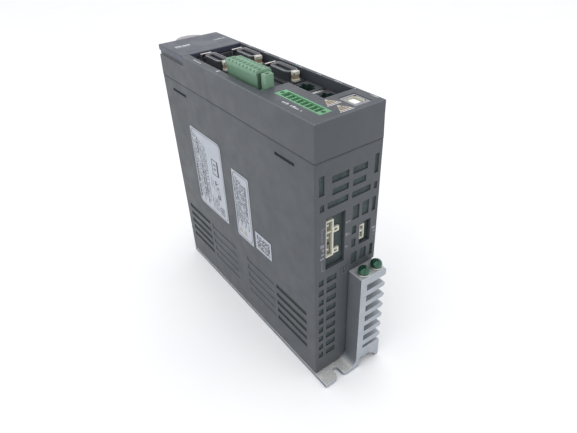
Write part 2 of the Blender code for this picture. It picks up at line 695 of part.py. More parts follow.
def build_aux_connector():
    y0, y1 = -HALF_L + 0.8, -HALF_L + 9.0
    body = dress(box("aux_connector", (9.8, y0, 101.8), (13.7, y1, 112.0)), IVORY)
    cut_boxes(body, "aux_mouth", [((10.5, y0 - 1, 102.5), (13.0, y0 + 5.5, 111.3))])
    for number, z in enumerate((104.8, 109.0), start=1):
        join_box(body, f"aux_pin_{number}", (11.45, y0 + 1.0, z - 0.32), (12.05, y0 + 6.0, z + 0.32))


# ---------------------------------------------------------------- ground screws


def build_ground_screw(number, x):
    seat = SHELF_Z + GAP
    at = (x, GROUND_Y, seat)
    washer = rods(f"ground_washer_{number}", [((0, 0, 0), (0, 0, 1), 4.2, 0.8)], PARTS, at, sides=24)
    dress(washer, WASHER_STEEL)
    hole = [((x, GROUND_Y, seat - 1), (0, 0, 1), 2.3, 3)]
    cut(washer, rods(f"washer_hole_{number}", hole, CUTTERS, sides=20))
    under, name = seat + 0.8 + GAP, f"ground_screw_{number}"
    head = [(0.0, 3.8), (1.5, 3.65), (2.7, 3.15), (3.4, 2.3), (3.7, 1.3), (3.7, 0.0)]
    profile = head + [(2.0, 0.0), (2.0, -7.2), (0.0, -7.2)]
    screw = turned(name, profile, (x, GROUND_Y, under), 24)
    dress(screw, GROUND_GREEN)
    top = under + 2.0
    for tag, wide, deep in (("a", 2.3, 0.45), ("b", 0.45, 2.3)):
        slot = ((x - wide, GROUND_Y - deep, top), (x + wide, GROUND_Y + deep, top + 3))
        cut_boxes(screw, f"{name}_slot_{tag}", [slot])


def turned(name, profile, at, steps):
    """A turned piece: its profile of (radius, height) runs from the top down its outer side."""
    mesh = bpy.data.meshes.new(name)
    verts = [(radius * MM, 0, height * MM) for radius, height in profile]
    mesh.from_pydata(verts, [(i, i + 1) for i in range(len(verts) - 1)], [])
    made = place(name, mesh, PARTS, at)
    spin = made.modifiers.new("turn", "SCREW")
    spin.steps = steps
    spin.render_steps = steps
    spin.use_merge_vertices = True
    spin.merge_threshold = 1e-5
    spin.use_smooth_shade = True
    return made


# ---------------------------------------------------------------- boards and what they carry


def build_boards():
    low_y, high_y = -HALF_L + WALL + 2, HALF_L - WALL - 3
    power_far_x, control_far_x = POWER_BOARD_X + BOARD_T, CONTROL_BOARD_X + BOARD_T
    power = dress(box("power_board", (POWER_BOARD_X, low_y, 9.0), (power_far_x, high_y, 160.0)), BOARD_GREEN)
    notches = []
    for y0, y1 in LATCH_Y:
        notches.append(((POWER_BOARD_X - 1, y0 - 1, 154.0), (POWER_BOARD_X + 3, y1 + 1, 162.0)))
    cut_boxes(power, "power_board_notches", notches)
    top = RECESS_Z - 1.5 - 2.0
    control = box("control_board", (CONTROL_BOARD_X, low_y, 88.0), (control_far_x, 60.0, top))
    dress(control, BOARD_GREEN)
    cut_boxes(control, "control_board_notch", [((0, -90, 169.0), (9, -66.4, top + 1))])
    upper = HEADER_FLOOR_Z - GAP
    terminal = box("terminal_board", (-19.6, low_y, upper - BOARD_T), (CONTROL_BOARD_X - GAP, 8.0, upper))
    dress(terminal, BOARD_GREEN)


def build_inside():
    face = POWER_BOARD_X + BOARD_T + GAP
    for number, y in enumerate((12.0, 36.0, 60.0), start=1):
        at = (face + 9.2, y, 98.0)
        can = rods(f"bus_capacitor_{number}", [((0, 0, 0), (0, 0, 1), 9.0, 40.0)], PARTS, at, sides=32)
        bevel(dress(can, SLEEVE_BLACK), 1.2, 2, 50)
    spine = SPINE_X0 - GAP
    module = dress(box("power_module", (spine - 5.6, -52.0, 26.0), (spine, -8.0, 54.0)), MODULE_BLACK)
    bevel(module, 0.6, 1)
    rectifier = dress(box("bridge_rectifier", (spine - 4.6, 12.0, 28.0), (spine, 42.0, 48.0)), MODULE_BLACK)
    bevel(rectifier, 0.5, 1)
    relay = dress(box("soft_start_relay", (face, -8.0, 104.0), (face + 12.6, 1.4, 132.0)), RELAY_BLACK)
    bevel(relay, 0.6, 1)
    core = [((face + 9.5, -30.0, 68.0), (1, 0, 0), 8.0, 7.6)]
    winding = dress(rods("input_choke", core, PARTS, sides=32), COPPER)
    cut(winding, rods("choke_eye", [((face + 9, -30.0, 68.0), (1, 0, 0), 3.4, 12)], CUTTERS, sides=20))
    transformer = dress(box("supply_transformer", (face, -52.0, 96.0), (face + 17.0, -26.0, 120.0)), FERRITE)
    windows = []
    for y0, y1 in ((-47.5, -42.5), (-35.5, -30.5)):
        windows.append(((face - 1, y0, 101.0), (face + 18, y1, 115.0)))
    cut_boxes(transformer, "transformer_windows", windows)
    control_face = CONTROL_BOARD_X - GAP
    spacers = [(-70.0, 20.0, spine), (70.0, 20.0, spine)]
    spacers += [(-68.0, 150.0, control_face), (52.0, 148.0, control_face)]
    for number, (y, z, reach) in enumerate(spacers, start=1):
        post = [((0, 0, 0), (1, 0, 0), 2.9, reach - face)]
        dress(rods(f"board_standoff_{number}", post, PARTS, (face, y, z), sides=6), NICKEL)
    dress(box("board_link", (face, -8.0, 146.0), (control_face, 20.0, 150.0)), BLACK_INSERT)


# ---------------------------------------------------------------- labels


def build_labels():
    outer, inner = -HALF_W - 0.25, -HALF_W - 0.1
    rating = [(12.2, 72.2), (13.0, 71.4), (52.4, 71.4), (55.0, 72.9), (55.0, 134.6), (54.2, 135.4)]
    rating += [(14.8, 135.4), (12.2, 133.0)]
    warning = [(-21.2, 71.2), (-2.2, 71.2), (-0.8, 72.4), (-0.8, 124.4), (-20.0, 124.4), (-21.2, 123.2)]
    code = [(-43.0, 72.7), (-24.6, 72.7), (-24.6, 87.0), (-43.0, 87.0)]
    for name, outline in (("rating_label", rating), ("caution_label", warning), ("code_label", code)):
        dress(plate(name, outline, "YZ", outer, inner), PAPER)


build_heatsink()
build_rear_housing()
build_front_cover()
build_front_cap()
for port_tag, (port_x, port_y) in PORT_PLACES.items():
    build_port(port_tag, port_x, port_y)
for jack_number, jack_y in enumerate(RJ45_PLACES, start=1):
    build_rj45(jack_number, jack_y)
build_usb()
build_io_header()
build_plug_header()
build_terminal_plug()
build_power_connector("motor_connector", -1, 100.3, 3, 8.47)
build_power_connector("input_connector", 1, 90.4, 4, 8.47)
build_aux_connector()
for screw_number, screw_x in enumerate(GROUND_X, start=1):
    build_ground_screw(screw_number, screw_x)
build_boards()
build_inside()
build_labels()
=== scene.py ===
"""Looks of the servo drive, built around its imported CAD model.

The camera and light come first, then the finishes, then the pieces that replace or add to the CAD
nodes. Shapes are written in millimetres in the model's own frame and scaled once, in solid().
"""

import math
import random

import bmesh
import bpy
from mathutils import Matrix, Vector


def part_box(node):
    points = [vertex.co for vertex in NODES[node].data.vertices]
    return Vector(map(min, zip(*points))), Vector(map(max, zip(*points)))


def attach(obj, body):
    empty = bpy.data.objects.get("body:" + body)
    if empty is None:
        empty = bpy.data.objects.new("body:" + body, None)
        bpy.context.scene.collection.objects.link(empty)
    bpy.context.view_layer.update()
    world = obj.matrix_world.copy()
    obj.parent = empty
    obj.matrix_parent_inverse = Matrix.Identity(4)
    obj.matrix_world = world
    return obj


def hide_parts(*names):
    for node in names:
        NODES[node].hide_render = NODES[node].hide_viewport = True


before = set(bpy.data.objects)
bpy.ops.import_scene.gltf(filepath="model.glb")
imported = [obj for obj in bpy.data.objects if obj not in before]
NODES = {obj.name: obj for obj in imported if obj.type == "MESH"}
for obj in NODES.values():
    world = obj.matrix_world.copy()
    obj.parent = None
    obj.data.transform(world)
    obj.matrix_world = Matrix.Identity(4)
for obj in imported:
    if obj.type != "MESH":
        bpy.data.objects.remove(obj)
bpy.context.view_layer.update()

MM = 0.001
SKIN = 0.02  # from a face to the print on it, in millimetres
PRINT_T = 0.03  # the thickness of print, in millimetres


# ---- camera and light


def set_camera():
    lens = bpy.data.cameras.new("camera")
    lens.sensor_width = 36.0
    lens.lens = 30.326
    lens.clip_start = 0.01
    camera = bpy.data.objects.new("camera", lens)
    camera.location = (-0.1519, -0.2499, 0.2802)
    camera.rotation_euler = (0.9547, 0.0361, -0.6301)
    bpy.context.scene.collection.objects.link(camera)
    bpy.context.scene.camera = camera


def add_lamp(name, location, size, power, colour):
    """A square soft box that faces the middle of the drive."""
    lamp = bpy.data.lights.new(name, "AREA")
    lamp.shape = "SQUARE"
    lamp.size = size
    lamp.energy = power
    lamp.color = colour
    made = bpy.data.objects.new(name, lamp)
    made.location = location
    aim = Vector((0, 0, 0.09)) - Vector(location)
    made.rotation_euler = aim.to_track_quat("-Z", "Y").to_euler()
    bpy.context.scene.collection.objects.link(made)


def set_light():
    bpy.context.scene.view_settings.view_transform = "Standard"
    world = bpy.data.worlds.new("studio")
    world.use_nodes = True
    bpy.context.scene.world = world
    background = world.node_tree.nodes["Background"]
    background.inputs["Color"].default_value = (0.98, 0.99, 1.0, 1.0)
    background.inputs["Strength"].default_value = 1.0
    add_lamp("top_box", (-0.15, 0.05, 0.95), 0.7, 1.6, (0.93, 0.96, 1.0))
    add_lamp("left_box", (-0.95, -0.25, 0.55), 0.8, 1.45, (0.95, 0.97, 1.0))
    add_lamp("end_box", (0.25, -0.95, 0.40), 0.7, 0.35, (0.96, 1.0, 0.98))


# ---- finishes


class Finish:
    """One material, with small methods that each add a node and return its output."""

    def __init__(self, name, roughness=0.5, metallic=0.0, **sockets):
        self.material = bpy.data.materials.new(name)
        self.material.use_nodes = True
        self.tree = self.material.node_tree
        self.shader = self.tree.nodes["Principled BSDF"]
        self.shader.inputs["Roughness"].default_value = roughness
        self.shader.inputs["Metallic"].default_value = metallic
        for socket, value in sockets.items():
            self.shader.inputs[socket.replace("_", " ")].default_value = value
        self.place = self.node("ShaderNodeTexCoord").outputs["Object"]

    def node(self, kind, inputs=(), **settings):
        """A node; inputs pairs a socket's name or number with a value or another node's output."""
        made = self.tree.nodes.new(kind)
        for key, value in settings.items():
            setattr(made, key, value)
        for socket, value in dict(inputs).items():
            if isinstance(value, bpy.types.NodeSocket):
                self.tree.links.new(value, made.inputs[socket])
            else:
                made.inputs[socket].default_value = value
        return made

    def stretched(self, stretch):
        inputs = {"Vector": self.place, "Scale": stretch}
        return self.node("ShaderNodeMapping", inputs).outputs["Vector"]

    def noise(self, size_mm, detail=2.0, stretch=(1, 1, 1)):
        inputs = {"Vector": self.stretched(stretch), "Scale": 1 / (size_mm * MM), "Detail": detail}
        return self.node("ShaderNodeTexNoise", inputs).outputs["Fac"]

    def cells(self, size_mm, feature="F1", stretch=(1, 1, 1)):
        inputs = {"Vector": self.stretched(stretch), "Scale": 1 / (size_mm * MM)}
        return self.node("ShaderNodeTexVoronoi", inputs, feature=feature).outputs["Distance"]

    def span(self, value, low, high, new_low=0.0, new_high=1.0):
        """The value with low to high stretched over new_low to new_high."""
        inputs = enumerate((value, low, high, new_low, new_high))
        return self.node("ShaderNodeMapRange", inputs).outputs["Result"]

    def uneven(self, size_mm, detail=2.0, low=0.0, high=1.0):
        """Soft blotches of this size, with values from low to high."""
        return self.span(self.noise(size_mm, detail), 0.30, 0.70, low, high)

    def math(self, operation, first, second=0.0):
        inputs = {0: first, 1: second}
        return self.node("ShaderNodeMath", inputs, operation=operation).outputs["Value"]

    def mix(self, factor, first, second):
        inputs = {0: factor, 6: first, 7: second}
        return self.node("ShaderNodeMix", inputs, data_type="RGBA").outputs[2]

    def varied(self, value, colour, first, second):
        """The colour times first where the value is 0, and times second where it is 1."""
        return self.mix(value, shade(colour, first), shade(colour, second))

    def axis(self, vector, letter):
        return self.node("ShaderNodeSeparateXYZ", {"Vector": vector}).outputs[letter]

    def normal(self):
        return self.node("ShaderNodeNewGeometry").outputs["Normal"]

    def soft_edges(self, radius_mm):
        """The surface's direction with its edges rounded, and a mask that is 1 along those edges."""
        rounded = self.node("ShaderNodeBevel", {"Radius": radius_mm * MM}, samples=4).outputs["Normal"]
        inputs = {0: rounded, 1: self.normal()}
        dot = self.node("ShaderNodeVectorMath", inputs, operation="DOT_PRODUCT")
        return rounded, self.span(dot.outputs["Value"], 0.995, 0.92)

    def bump(self, height, strength, depth_mm, base=None):
        inputs = {"Strength": strength, "Distance": depth_mm * MM, "Height": height}
        if base is not None:
            inputs["Normal"] = base
        return self.node("ShaderNodeBump", inputs).outputs["Normal"]

    def done(self, colour=None, roughness=None, normal=None):
        for socket, value in (("Base Color", colour), ("Roughness", roughness), ("Normal", normal)):
            if value is not None:
                self.tree.links.new(value, self.shader.inputs[socket])
        return self.material


def shade(colour, factor):
    return tuple(min(1.0, channel * factor) for channel in colour[:3]) + (1.0,)


def moulded(
    name, colour, roughness, grain_mm=0.3, grain=0.30, edge_mm=0.35, wear_and_sheen=1.7, rub_and_sheen=0.10, **sockets
):
    """Moulded plastic: eroded grain, faint flow marks, paler edges (partly wear, partly painted
    highlight on edges that face up) and uneven gloss.
    """
    finish = Finish(name, roughness, **sockets)
    normal, edge = finish.soft_edges(edge_mm)
    flow = finish.span(finish.noise(38, 3, (1, 1, 0.45)), 0.30, 0.70)
    tone = finish.varied(flow, colour, 0.93, 1.08)
    mottle = finish.span(finish.noise(1.6, 4), 0.25, 0.75, 0.0, 0.16)
    tone = finish.mix(mottle, tone, shade(colour, 1.35))
    # Paler edges kept to those that face up: painted highlight where the top light falls, mixed with
    # rubbed wear.
    edge = finish.math("MULTIPLY", edge, finish.span(finish.axis(normal, "Z"), 0.05, 0.25, 0.15, 1.0))
    worn_and_lit = finish.math("MULTIPLY", edge, finish.span(finish.noise(5, 4), 0.35, 0.75, rub_and_sheen, 0.75))
    tone = finish.mix(worn_and_lit, tone, shade(colour, wear_and_sheen))
    gloss = finish.uneven(9, 4, roughness - 0.06, roughness + 0.08)
    relief = finish.bump(finish.noise(grain_mm, 3), grain, 0.05, normal)
    return finish.done(tone, gloss, relief)


def scratched_metal(name, colour, roughness, stretch=(1, 1, 1), size_mm=0.3, edge_mm=0.2, **sockets):
    """Bare or plated metal with fine marks along one direction and brighter edges."""
    finish = Finish(name, roughness, 1.0, **sockets)
    normal, edge = finish.soft_edges(edge_mm)
    streak = finish.noise(size_mm, 3, stretch)
    tone = finish.varied(finish.span(streak, 0.30, 0.70), colour, 0.84, 1.12)
    tone = finish.mix(finish.span(finish.noise(4, 4), 0.45, 0.80, 0.0, 0.35), tone, shade(colour, 0.70))
    tone = finish.mix(finish.math("MULTIPLY", edge, 0.6), tone, shade(colour, 1.35))
    gloss = finish.uneven(2.5, 4, roughness - 0.08, roughness + 0.12)
    return finish.done(tone, gloss, finish.bump(streak, 0.25, 0.02, normal))


def extruded_aluminium(name, colour):
    """Anodised extrusion: die lines along Y, saw marks on the cut ends, paler flanges and shelf (part
    bare metal, part painted highlight on upward faces), scuffs, painted shade on faces that look to -X
    and painted highlight on edges.
    """
    finish = Finish(name, 0.42, 0.45)
    normal, edge = finish.soft_edges(0.45)
    die = finish.noise(0.35, 3, (1, 0.012, 1))
    saw = finish.noise(0.5, 2, (0.05, 1, 1))
    facing = finish.math("ABSOLUTE", finish.axis(finish.normal(), "Y"))
    end = finish.span(facing, 0.80, 0.95)
    streak = finish.node("ShaderNodeMix", {0: end, 2: die, 3: saw}, data_type="FLOAT").outputs[0]
    tone = finish.varied(finish.span(streak, 0.30, 0.70), colour, 0.86, 1.12)
    tone = finish.mix(finish.span(finish.noise(14, 5), 0.45, 0.75, 0.0, 0.35), tone, shade(colour, 0.74))
    tone = finish.mix(finish.math("MULTIPLY", end, 0.20), tone, shade(colour, 1.15))
    # Faces that look to -X painted darker: painted shade and a painted dark reflection of the case.
    shaded_side = finish.span(finish.axis(finish.normal(), "X"), -0.6, -0.95)
    tone = finish.mix(shaded_side, tone, shade(colour, 0.50))
    # Upward faces of the flange and the shelf top painted paler with speckle: part bare metal, part
    # painted highlight from the top light.
    height = finish.axis(finish.place, "Z")
    upward = finish.span(finish.axis(finish.normal(), "Z"), 0.7, 0.9)
    flange = finish.math("MULTIPLY", upward, finish.span(height, 5.0 * MM, 3.4 * MM))
    shelf = finish.math("MULTIPLY", upward, finish.span(height, 74.0 * MM, 76.0 * MM, 0.0, 0.45))
    bare_and_lit = finish.math("MAXIMUM", flange, shelf)
    speckle = finish.span(finish.noise(0.9, 3), 0.35, 0.70)
    tone = finish.mix(bare_and_lit, tone, finish.mix(speckle, (0.60, 0.60, 0.58, 1), (0.84, 0.83, 0.81, 1)))
    # Edges painted twice as light: a painted highlight.
    tone = finish.mix(finish.math("MULTIPLY", edge, 0.85), tone, shade(colour, 2.0))
    gloss = finish.uneven(7, 5, 0.34, 0.56)
    return finish.done(tone, gloss, finish.bump(streak, 0.35, 0.03, normal))


def lacquered(name, colour):
    """Glossy green lacquer over a screw, thin on the edges where steel shows."""
    finish = Finish(name, 0.22, 0.35, Coat_Weight=0.6, Coat_Roughness=0.05)
    normal, edge = finish.soft_edges(0.15)
    tone = finish.varied(finish.uneven(1.8, 3), colour, 0.7, 1.3)
    chips = finish.math("MULTIPLY", edge, finish.span(finish.noise(0.9, 4), 0.50, 0.62))
    tone = finish.mix(chips, tone, (0.45, 0.50, 0.42, 1))
    gloss = finish.uneven(1.2, 3, 0.14, 0.30)
    return finish.done(tone, gloss, finish.bump(finish.noise(1.4, 2), 0.15, 0.03, normal))


def circuit_board(name, colour):
    """Green solder mask with darker tracks, tinned pads and a little unevenness."""
    finish = Finish(name, 0.38, Coat_Weight=0.3)
    rows = finish.cells(2.6, "F1", (1, 1, 2.2))
    tracks = finish.span(finish.cells(5.2, "DISTANCE_TO_EDGE"), 0.05, 0.08)
    tone = finish.varied(tracks, colour, 0.55, 1.1)
    tone = finish.mix(finish.span(rows, 0.16, 0.13), tone, (0.42, 0.42, 0.36, 1))
    return finish.done(tone, finish.uneven(3, 2, 0.30, 0.46), finish.bump(tracks, 0.3, 0.04))


def printed_foil(name, colour):
    """A satin label: faint fibre, slightly uneven tone and soft dents."""
    finish = Finish(name, 0.48)
    tone = finish.varied(finish.span(finish.noise(12, 4), 0.30, 0.75), colour, 1.03, 0.93)
    tone = finish.mix(finish.uneven(0.35, 2, 0.0, 0.25), tone, shade(colour, 0.86))
    gloss = finish.uneven(5, 3, 0.40, 0.58)
    return finish.done(tone, gloss, finish.bump(finish.noise(3.5, 2), 0.15, 0.04))


def ink(name, colour):
    """Screen-printed ink, thinner in places."""
    finish = Finish(name, 0.55)
    tone = finish.varied(finish.uneven(0.5, 3), colour, 0.85, 1.08)
    gloss = finish.uneven(0.8, 2, 0.48, 0.64)
    return finish.done(tone, gloss, finish.bump(finish.noise(0.25, 2), 0.2, 0.01))


def wound_wire(name, colour):
    """Enamelled turns that run round a ring whose axis is X."""
    finish = Finish(name, 0.30, 0.8, Coat_Weight=0.4)
    inputs = {"Vector": finish.place, "Scale": 320.0, "Distortion": 1.5}
    wave = finish.node("ShaderNodeTexWave", inputs, wave_type="BANDS", bands_direction="DIAGONAL")
    turns = wave.outputs["Fac"]
    tone = finish.varied(turns, colour, 0.45, 1.2)
    return finish.done(tone, finish.uneven(2, 2, 0.22, 0.40), finish.bump(turns, 0.8, 0.2))


def fine_mesh(name, colour):
    """A woven screen: rows of small dark openings in a paler cloth."""
    finish = Finish(name, 0.7)
    holes = finish.span(finish.cells(0.9), 0.28, 0.42)
    cloth = finish.varied(finish.uneven(7, 4), colour, 0.75, 1.25)
    tone = finish.mix(holes, shade(colour, 0.45), cloth)
    return finish.done(tone, finish.uneven(2, 3, 0.6, 0.8), finish.bump(holes, 0.5, 0.1))


def studio_floor(name):
    finish = Finish(name, 0.75)
    tone = finish.mix(finish.uneven(60, 4), (0.96, 0.96, 0.97, 1), (0.99, 0.99, 0.99, 1))
    return finish.done(tone, None, finish.bump(finish.noise(1.2, 2), 0.05, 0.05))


# The paler edges set here are part wear and part painted highlight along top edges; the cover's are the
# strongest.
CASE = moulded("case_plastic", (0.057, 0.062, 0.070), 0.50, 0.45, wear_and_sheen=2.0, rub_and_sheen=0.25)
COVER = moulded("cover_plastic", (0.057, 0.062, 0.072), 0.46, 0.45, edge_mm=0.8, wear_and_sheen=4.0, rub_and_sheen=0.7)
CAP = moulded("cap_plastic", (0.048, 0.053, 0.080), 0.36, 0.25, grain=0.12, wear_and_sheen=1.4)
SMOKE = moulded("smoke_plastic", (0.26, 0.24, 0.26), 0.30, grain=0.10, wear_and_sheen=1.2)
BLACK = moulded("black_nylon", (0.046, 0.049, 0.057), 0.46, edge_mm=0.15, wear_and_sheen=1.8)
JACK = moulded("jack_nylon", (0.022, 0.048, 0.043), 0.40, edge_mm=0.15, wear_and_sheen=2.0)
# Olive for boxes that paint the shade inside the power connectors' poles.
OLIVE = moulded("shaded_nylon", (0.16, 0.155, 0.120), 0.50, edge_mm=0.1)
# Dark teal screen cloth: painted shade for the inside seen through the vents.
SCREEN = fine_mesh("screen_cloth", (0.034, 0.051, 0.051))
# Darker cloth: painted shade for the -X side slots and the latch window.
DEEP_SHADE_SHEET = fine_mesh("deep_painted_shade", (0.019, 0.026, 0.027))
INSERT = moulded("port_nylon", (0.042, 0.045, 0.055), 0.44, edge_mm=0.1, wear_and_sheen=1.15)
# Darker green that paints the shade on the plug's near end.
SHADE_GREEN = moulded("plug_end_painted_shade", (0.075, 0.125, 0.092), 0.5, edge_mm=0.2)
BLACKENED = scratched_metal("blackened_steel", (0.10, 0.10, 0.10), 0.42, (1, 1, 0.1))
PLUG_GREEN = moulded("plug_nylon", (0.170, 0.300, 0.205), 0.46, grain=0.2, edge_mm=0.25, wear_and_sheen=1.5)
HEADER_GREEN = moulded("header_nylon", (0.135, 0.330, 0.180), 0.46, grain=0.2, edge_mm=0.2, wear_and_sheen=1.4)
GLOW = {"Subsurface_Weight": 0.08, "Subsurface_Scale": 0.002}
IVORY = moulded("ivory_nylon", (0.56, 0.55, 0.47), 0.42, grain=0.15, edge_mm=0.2, wear_and_sheen=1.2, **GLOW)
TAN = moulded("tan_nylon", (0.33, 0.25, 0.17), 0.45, edge_mm=0.15)
WHITE = moulded("white_nylon", (0.86, 0.86, 0.82), 0.34, grain=0.1, edge_mm=0.15, wear_and_sheen=1.1)
EPOXY = moulded("epoxy", (0.030, 0.030, 0.033), 0.55, 0.25, edge_mm=0.3)
RELAY = moulded("relay_plastic", (0.045, 0.045, 0.055), 0.36, 0.4, edge_mm=0.3)
FERRITE = moulded("ferrite_core", (0.060, 0.060, 0.066), 0.62, grain=0.5, edge_mm=0.4)
SLEEVE = moulded("capacitor_sleeve", (0.030, 0.034, 0.060), 0.28, 0.6, grain=0.05, edge_mm=0.5, wear_and_sheen=1.3)
ALUMINIUM = extruded_aluminium("anodised_aluminium", (0.36, 0.385, 0.42))
TIN = scratched_metal("tin_plate", (0.64, 0.64, 0.63), 0.28, (1, 1, 0.1))
DULL_TIN = scratched_metal("dull_tin", (0.30, 0.30, 0.30), 0.40, (1, 1, 0.1))
SHIELD = scratched_metal("socket_shield", (0.36, 0.36, 0.38), 0.34, (1, 1, 0.1))
RIM = scratched_metal("port_rim", (0.62, 0.62, 0.64), 0.30, (1, 1, 0.1), 0.3, 0.1)
NICKEL = scratched_metal("nickel_plate", (0.74, 0.72, 0.68), 0.24, (0.2, 1, 1))
ZINC = scratched_metal("zinc_plate", (0.62, 0.64, 0.60), 0.32, (1, 1, 1), 0.2)
GOLD = scratched_metal("gold_flash", (0.83, 0.62, 0.28), 0.24, (1, 1, 0.1), 0.15, 0.08)
GROUND = lacquered("ground_lacquer", (0.004, 0.070, 0.038))
BOARD = circuit_board("solder_mask", (0.050, 0.130, 0.105))
FOIL = printed_foil("label_foil", (0.40, 0.425, 0.475))
COPPER = wound_wire("enamelled_wire", (0.50, 0.20, 0.08))
PALE_INK = ink("pale_ink", (0.60, 0.62, 0.66))
WHITE_INK = ink("white_ink", (0.58, 0.60, 0.66))
GREY_INK = ink("grey_ink", (0.095, 0.10, 0.115))
BLACK_INK = ink("black_ink", (0.045, 0.045, 0.052))
CODE_INK = ink("code_ink", (0.105, 0.110, 0.120))
CREAM_INK = ink("cream_ink", (0.56, 0.50, 0.42))
BROWN_INK = ink("brown_ink", (0.17, 0.12, 0.08))
YELLOW_INK = ink("yellow_ink", (0.30, 0.30, 0.17))
LINE_INK = ink("line_ink", (0.20, 0.20, 0.24))
MARK_INK = ink("mark_ink", (0.095, 0.100, 0.112))


# ---- shapes


def corners(node):
    """A CAD node's lowest and highest corner in millimetres."""
    low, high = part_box(node)
    return low / MM, high / MM


def centre_of(node):
    low, high = corners(node)
    return (low + high) / 2


def solid(name, build):
    """An object made in millimetres, from build(shape) or from a list of boxes."""
    mesh = bpy.data.meshes.new(name)
    shape = bmesh.new()
    if callable(build):
        build(shape)
    else:
        for box in build:
            add_box(shape, *box)
    bmesh.ops.recalc_face_normals(shape, faces=shape.faces)
    shape.to_mesh(mesh)
    shape.free()
    mesh.transform(Matrix.Scale(MM, 4))
    made = bpy.data.objects.new(name, mesh)
    bpy.context.scene.collection.objects.link(made)
    return made


def add_box(shape, first, second):
    """A box between any two opposite corners."""
    low = Vector([*map(min, first, second)])
    high = Vector([*map(max, first, second)])
    size = Matrix.Diagonal(high - low).to_4x4()
    bmesh.ops.create_cube(shape, size=1.0, matrix=Matrix.Translation((low + high) / 2) @ size)


def upright(place, half_x, half_y, low, high):
    """The corners of a box about a place in X and Y, from one height to another."""
    x, y = place[0], place[1]
    return (x - half_x, y - half_y, low), (x + half_x, y + half_y, high)


def add_rod(shape, base, axis, radius, length, tip=None):
    """A round rod from base along a unit axis, narrowed to the radius tip at its far end."""
    axis = Vector(axis)
    turn = Vector((0, 0, 1)).rotation_difference(axis).to_matrix().to_4x4()
    place = Matrix.Translation(Vector(base) + axis * length / 2) @ turn
    ends = {"radius1": radius, "radius2": radius if tip is None else tip}
    bmesh.ops.create_cone(shape, cap_ends=True, segments=24, depth=length, matrix=place, **ends)


def rods(places, base, radius, length):
    """A build function: one upright rod at each place."""

    def build(shape):
        for place in places:
            add_rod(shape, (place[0], place[1], base), (0, 0, 1), radius, length)

    return build


def add_rings(shape, rings, closed=False):
    """Faces from each ring of points to the next, back to the first ring or with a cap at each end."""
    rings = [[shape.verts.new(point) for point in ring] for ring in rings]
    for first, second in zip(rings, rings[1:] + rings[:1] if closed else rings[1:]):
        for i in range(len(first)):
            j = (i + 1) % len(first)
            shape.faces.new((first[i], first[j], second[j], second[i]))
    if not closed:
        shape.faces.new(rings[0])
        shape.faces.new(rings[-1])


def prism(outline, low, high, plane="XY"):
    """A build function: a flat outline in one plane, solid from low to high along the third axis."""
    order = {"XY": (0, 1, 2), "XZ": (0, 2, 1), "YZ": (2, 0, 1)}[plane]
    rings = []
    for level in (low, high):
        rings.append([[(a, b, level)[place] for place in order] for a, b in outline])
    return lambda shape: add_rings(shape, rings)


def both_sides(place, halves):
    """An outline that is the same on both sides of place's Y, from (x, half width) pairs."""
    x, y = place[0], place[1]
    return [(x + a, y - b) for a, b in halves] + [(x + a, y + b) for a, b in reversed(halves)]


def arc(centre, radius, start, end, steps):
    found = []
    for step in range(steps + 1):
        angle = math.radians(start + (end - start) * step / steps)
        found.append((centre[0] + radius * math.cos(angle), centre[1] + radius * math.sin(angle)))
    return found


def lathe(profile, place, steps=48):
    """A build function: a profile of (radius, height) turned about the vertical through place."""
    x, y = place[0], place[1]

    def build(shape):
        verts = [shape.verts.new((x + radius, y, height)) for radius, height in profile]
        edges = [shape.edges.new(pair) for pair in zip(verts, verts[1:])]
        turn = {"cent": (x, y, 0), "axis": (0, 0, 1), "angle": 2 * math.pi, "steps": steps}
        bmesh.ops.spin(shape, geom=verts + edges, use_merge=True, **turn)
        bmesh.ops.remove_doubles(shape, verts=shape.verts, dist=0.001)

    return build


def cut(target, build, operation="DIFFERENCE"):
    """Takes what build makes out of the target's mesh, or adds it with UNION."""
    tool = solid(target.name + "_tool", build)
    modifier = target.modifiers.new("cut", "BOOLEAN")
    modifier.operation = operation
    modifier.solver = "EXACT"
    modifier.use_self = True
    modifier.object = tool
    bake(target)
    bpy.data.objects.remove(tool, do_unlink=True)


def bake(target):
    bpy.context.view_layer.update()
    graph = bpy.context.evaluated_depsgraph_get()
    mesh = bpy.data.meshes.new_from_object(target.evaluated_get(graph))
    target.modifiers.clear()
    target.data = mesh


def bevel(target, width, segments=1, angle=35):
    modifier = target.modifiers.new("edges", "BEVEL")
    modifier.width = width * MM
    modifier.segments = segments
    modifier.limit_method = "ANGLE"
    modifier.angle_limit = math.radians(angle)
    bake(target)


def fit(made, finish, body="drive", replaces=(), smooth=35):
    """Finishes a piece: its material, shading, body, and the nodes it stands for."""
    made.data.materials.clear()
    made.data.materials.append(finish)
    made.data.shade_smooth()
    made.data.set_sharp_from_angle(angle=math.radians(smooth))
    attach(made, body)
    if replaces:
        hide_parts(*replaces)


def piece(
    name, build, finish, body="drive", replaces=(), cuts=(), edge=0.0, segments=1, smooth=35
):
    """One finished piece, with its cuts taken out and then its edges rounded."""
    made = solid(name, build)
    for tool in cuts:
        cut(made, tool)
    if edge:
        bevel(made, edge, segments)
    fit(made, finish, body, replaces, smooth)


# ---- CAD nodes that stay


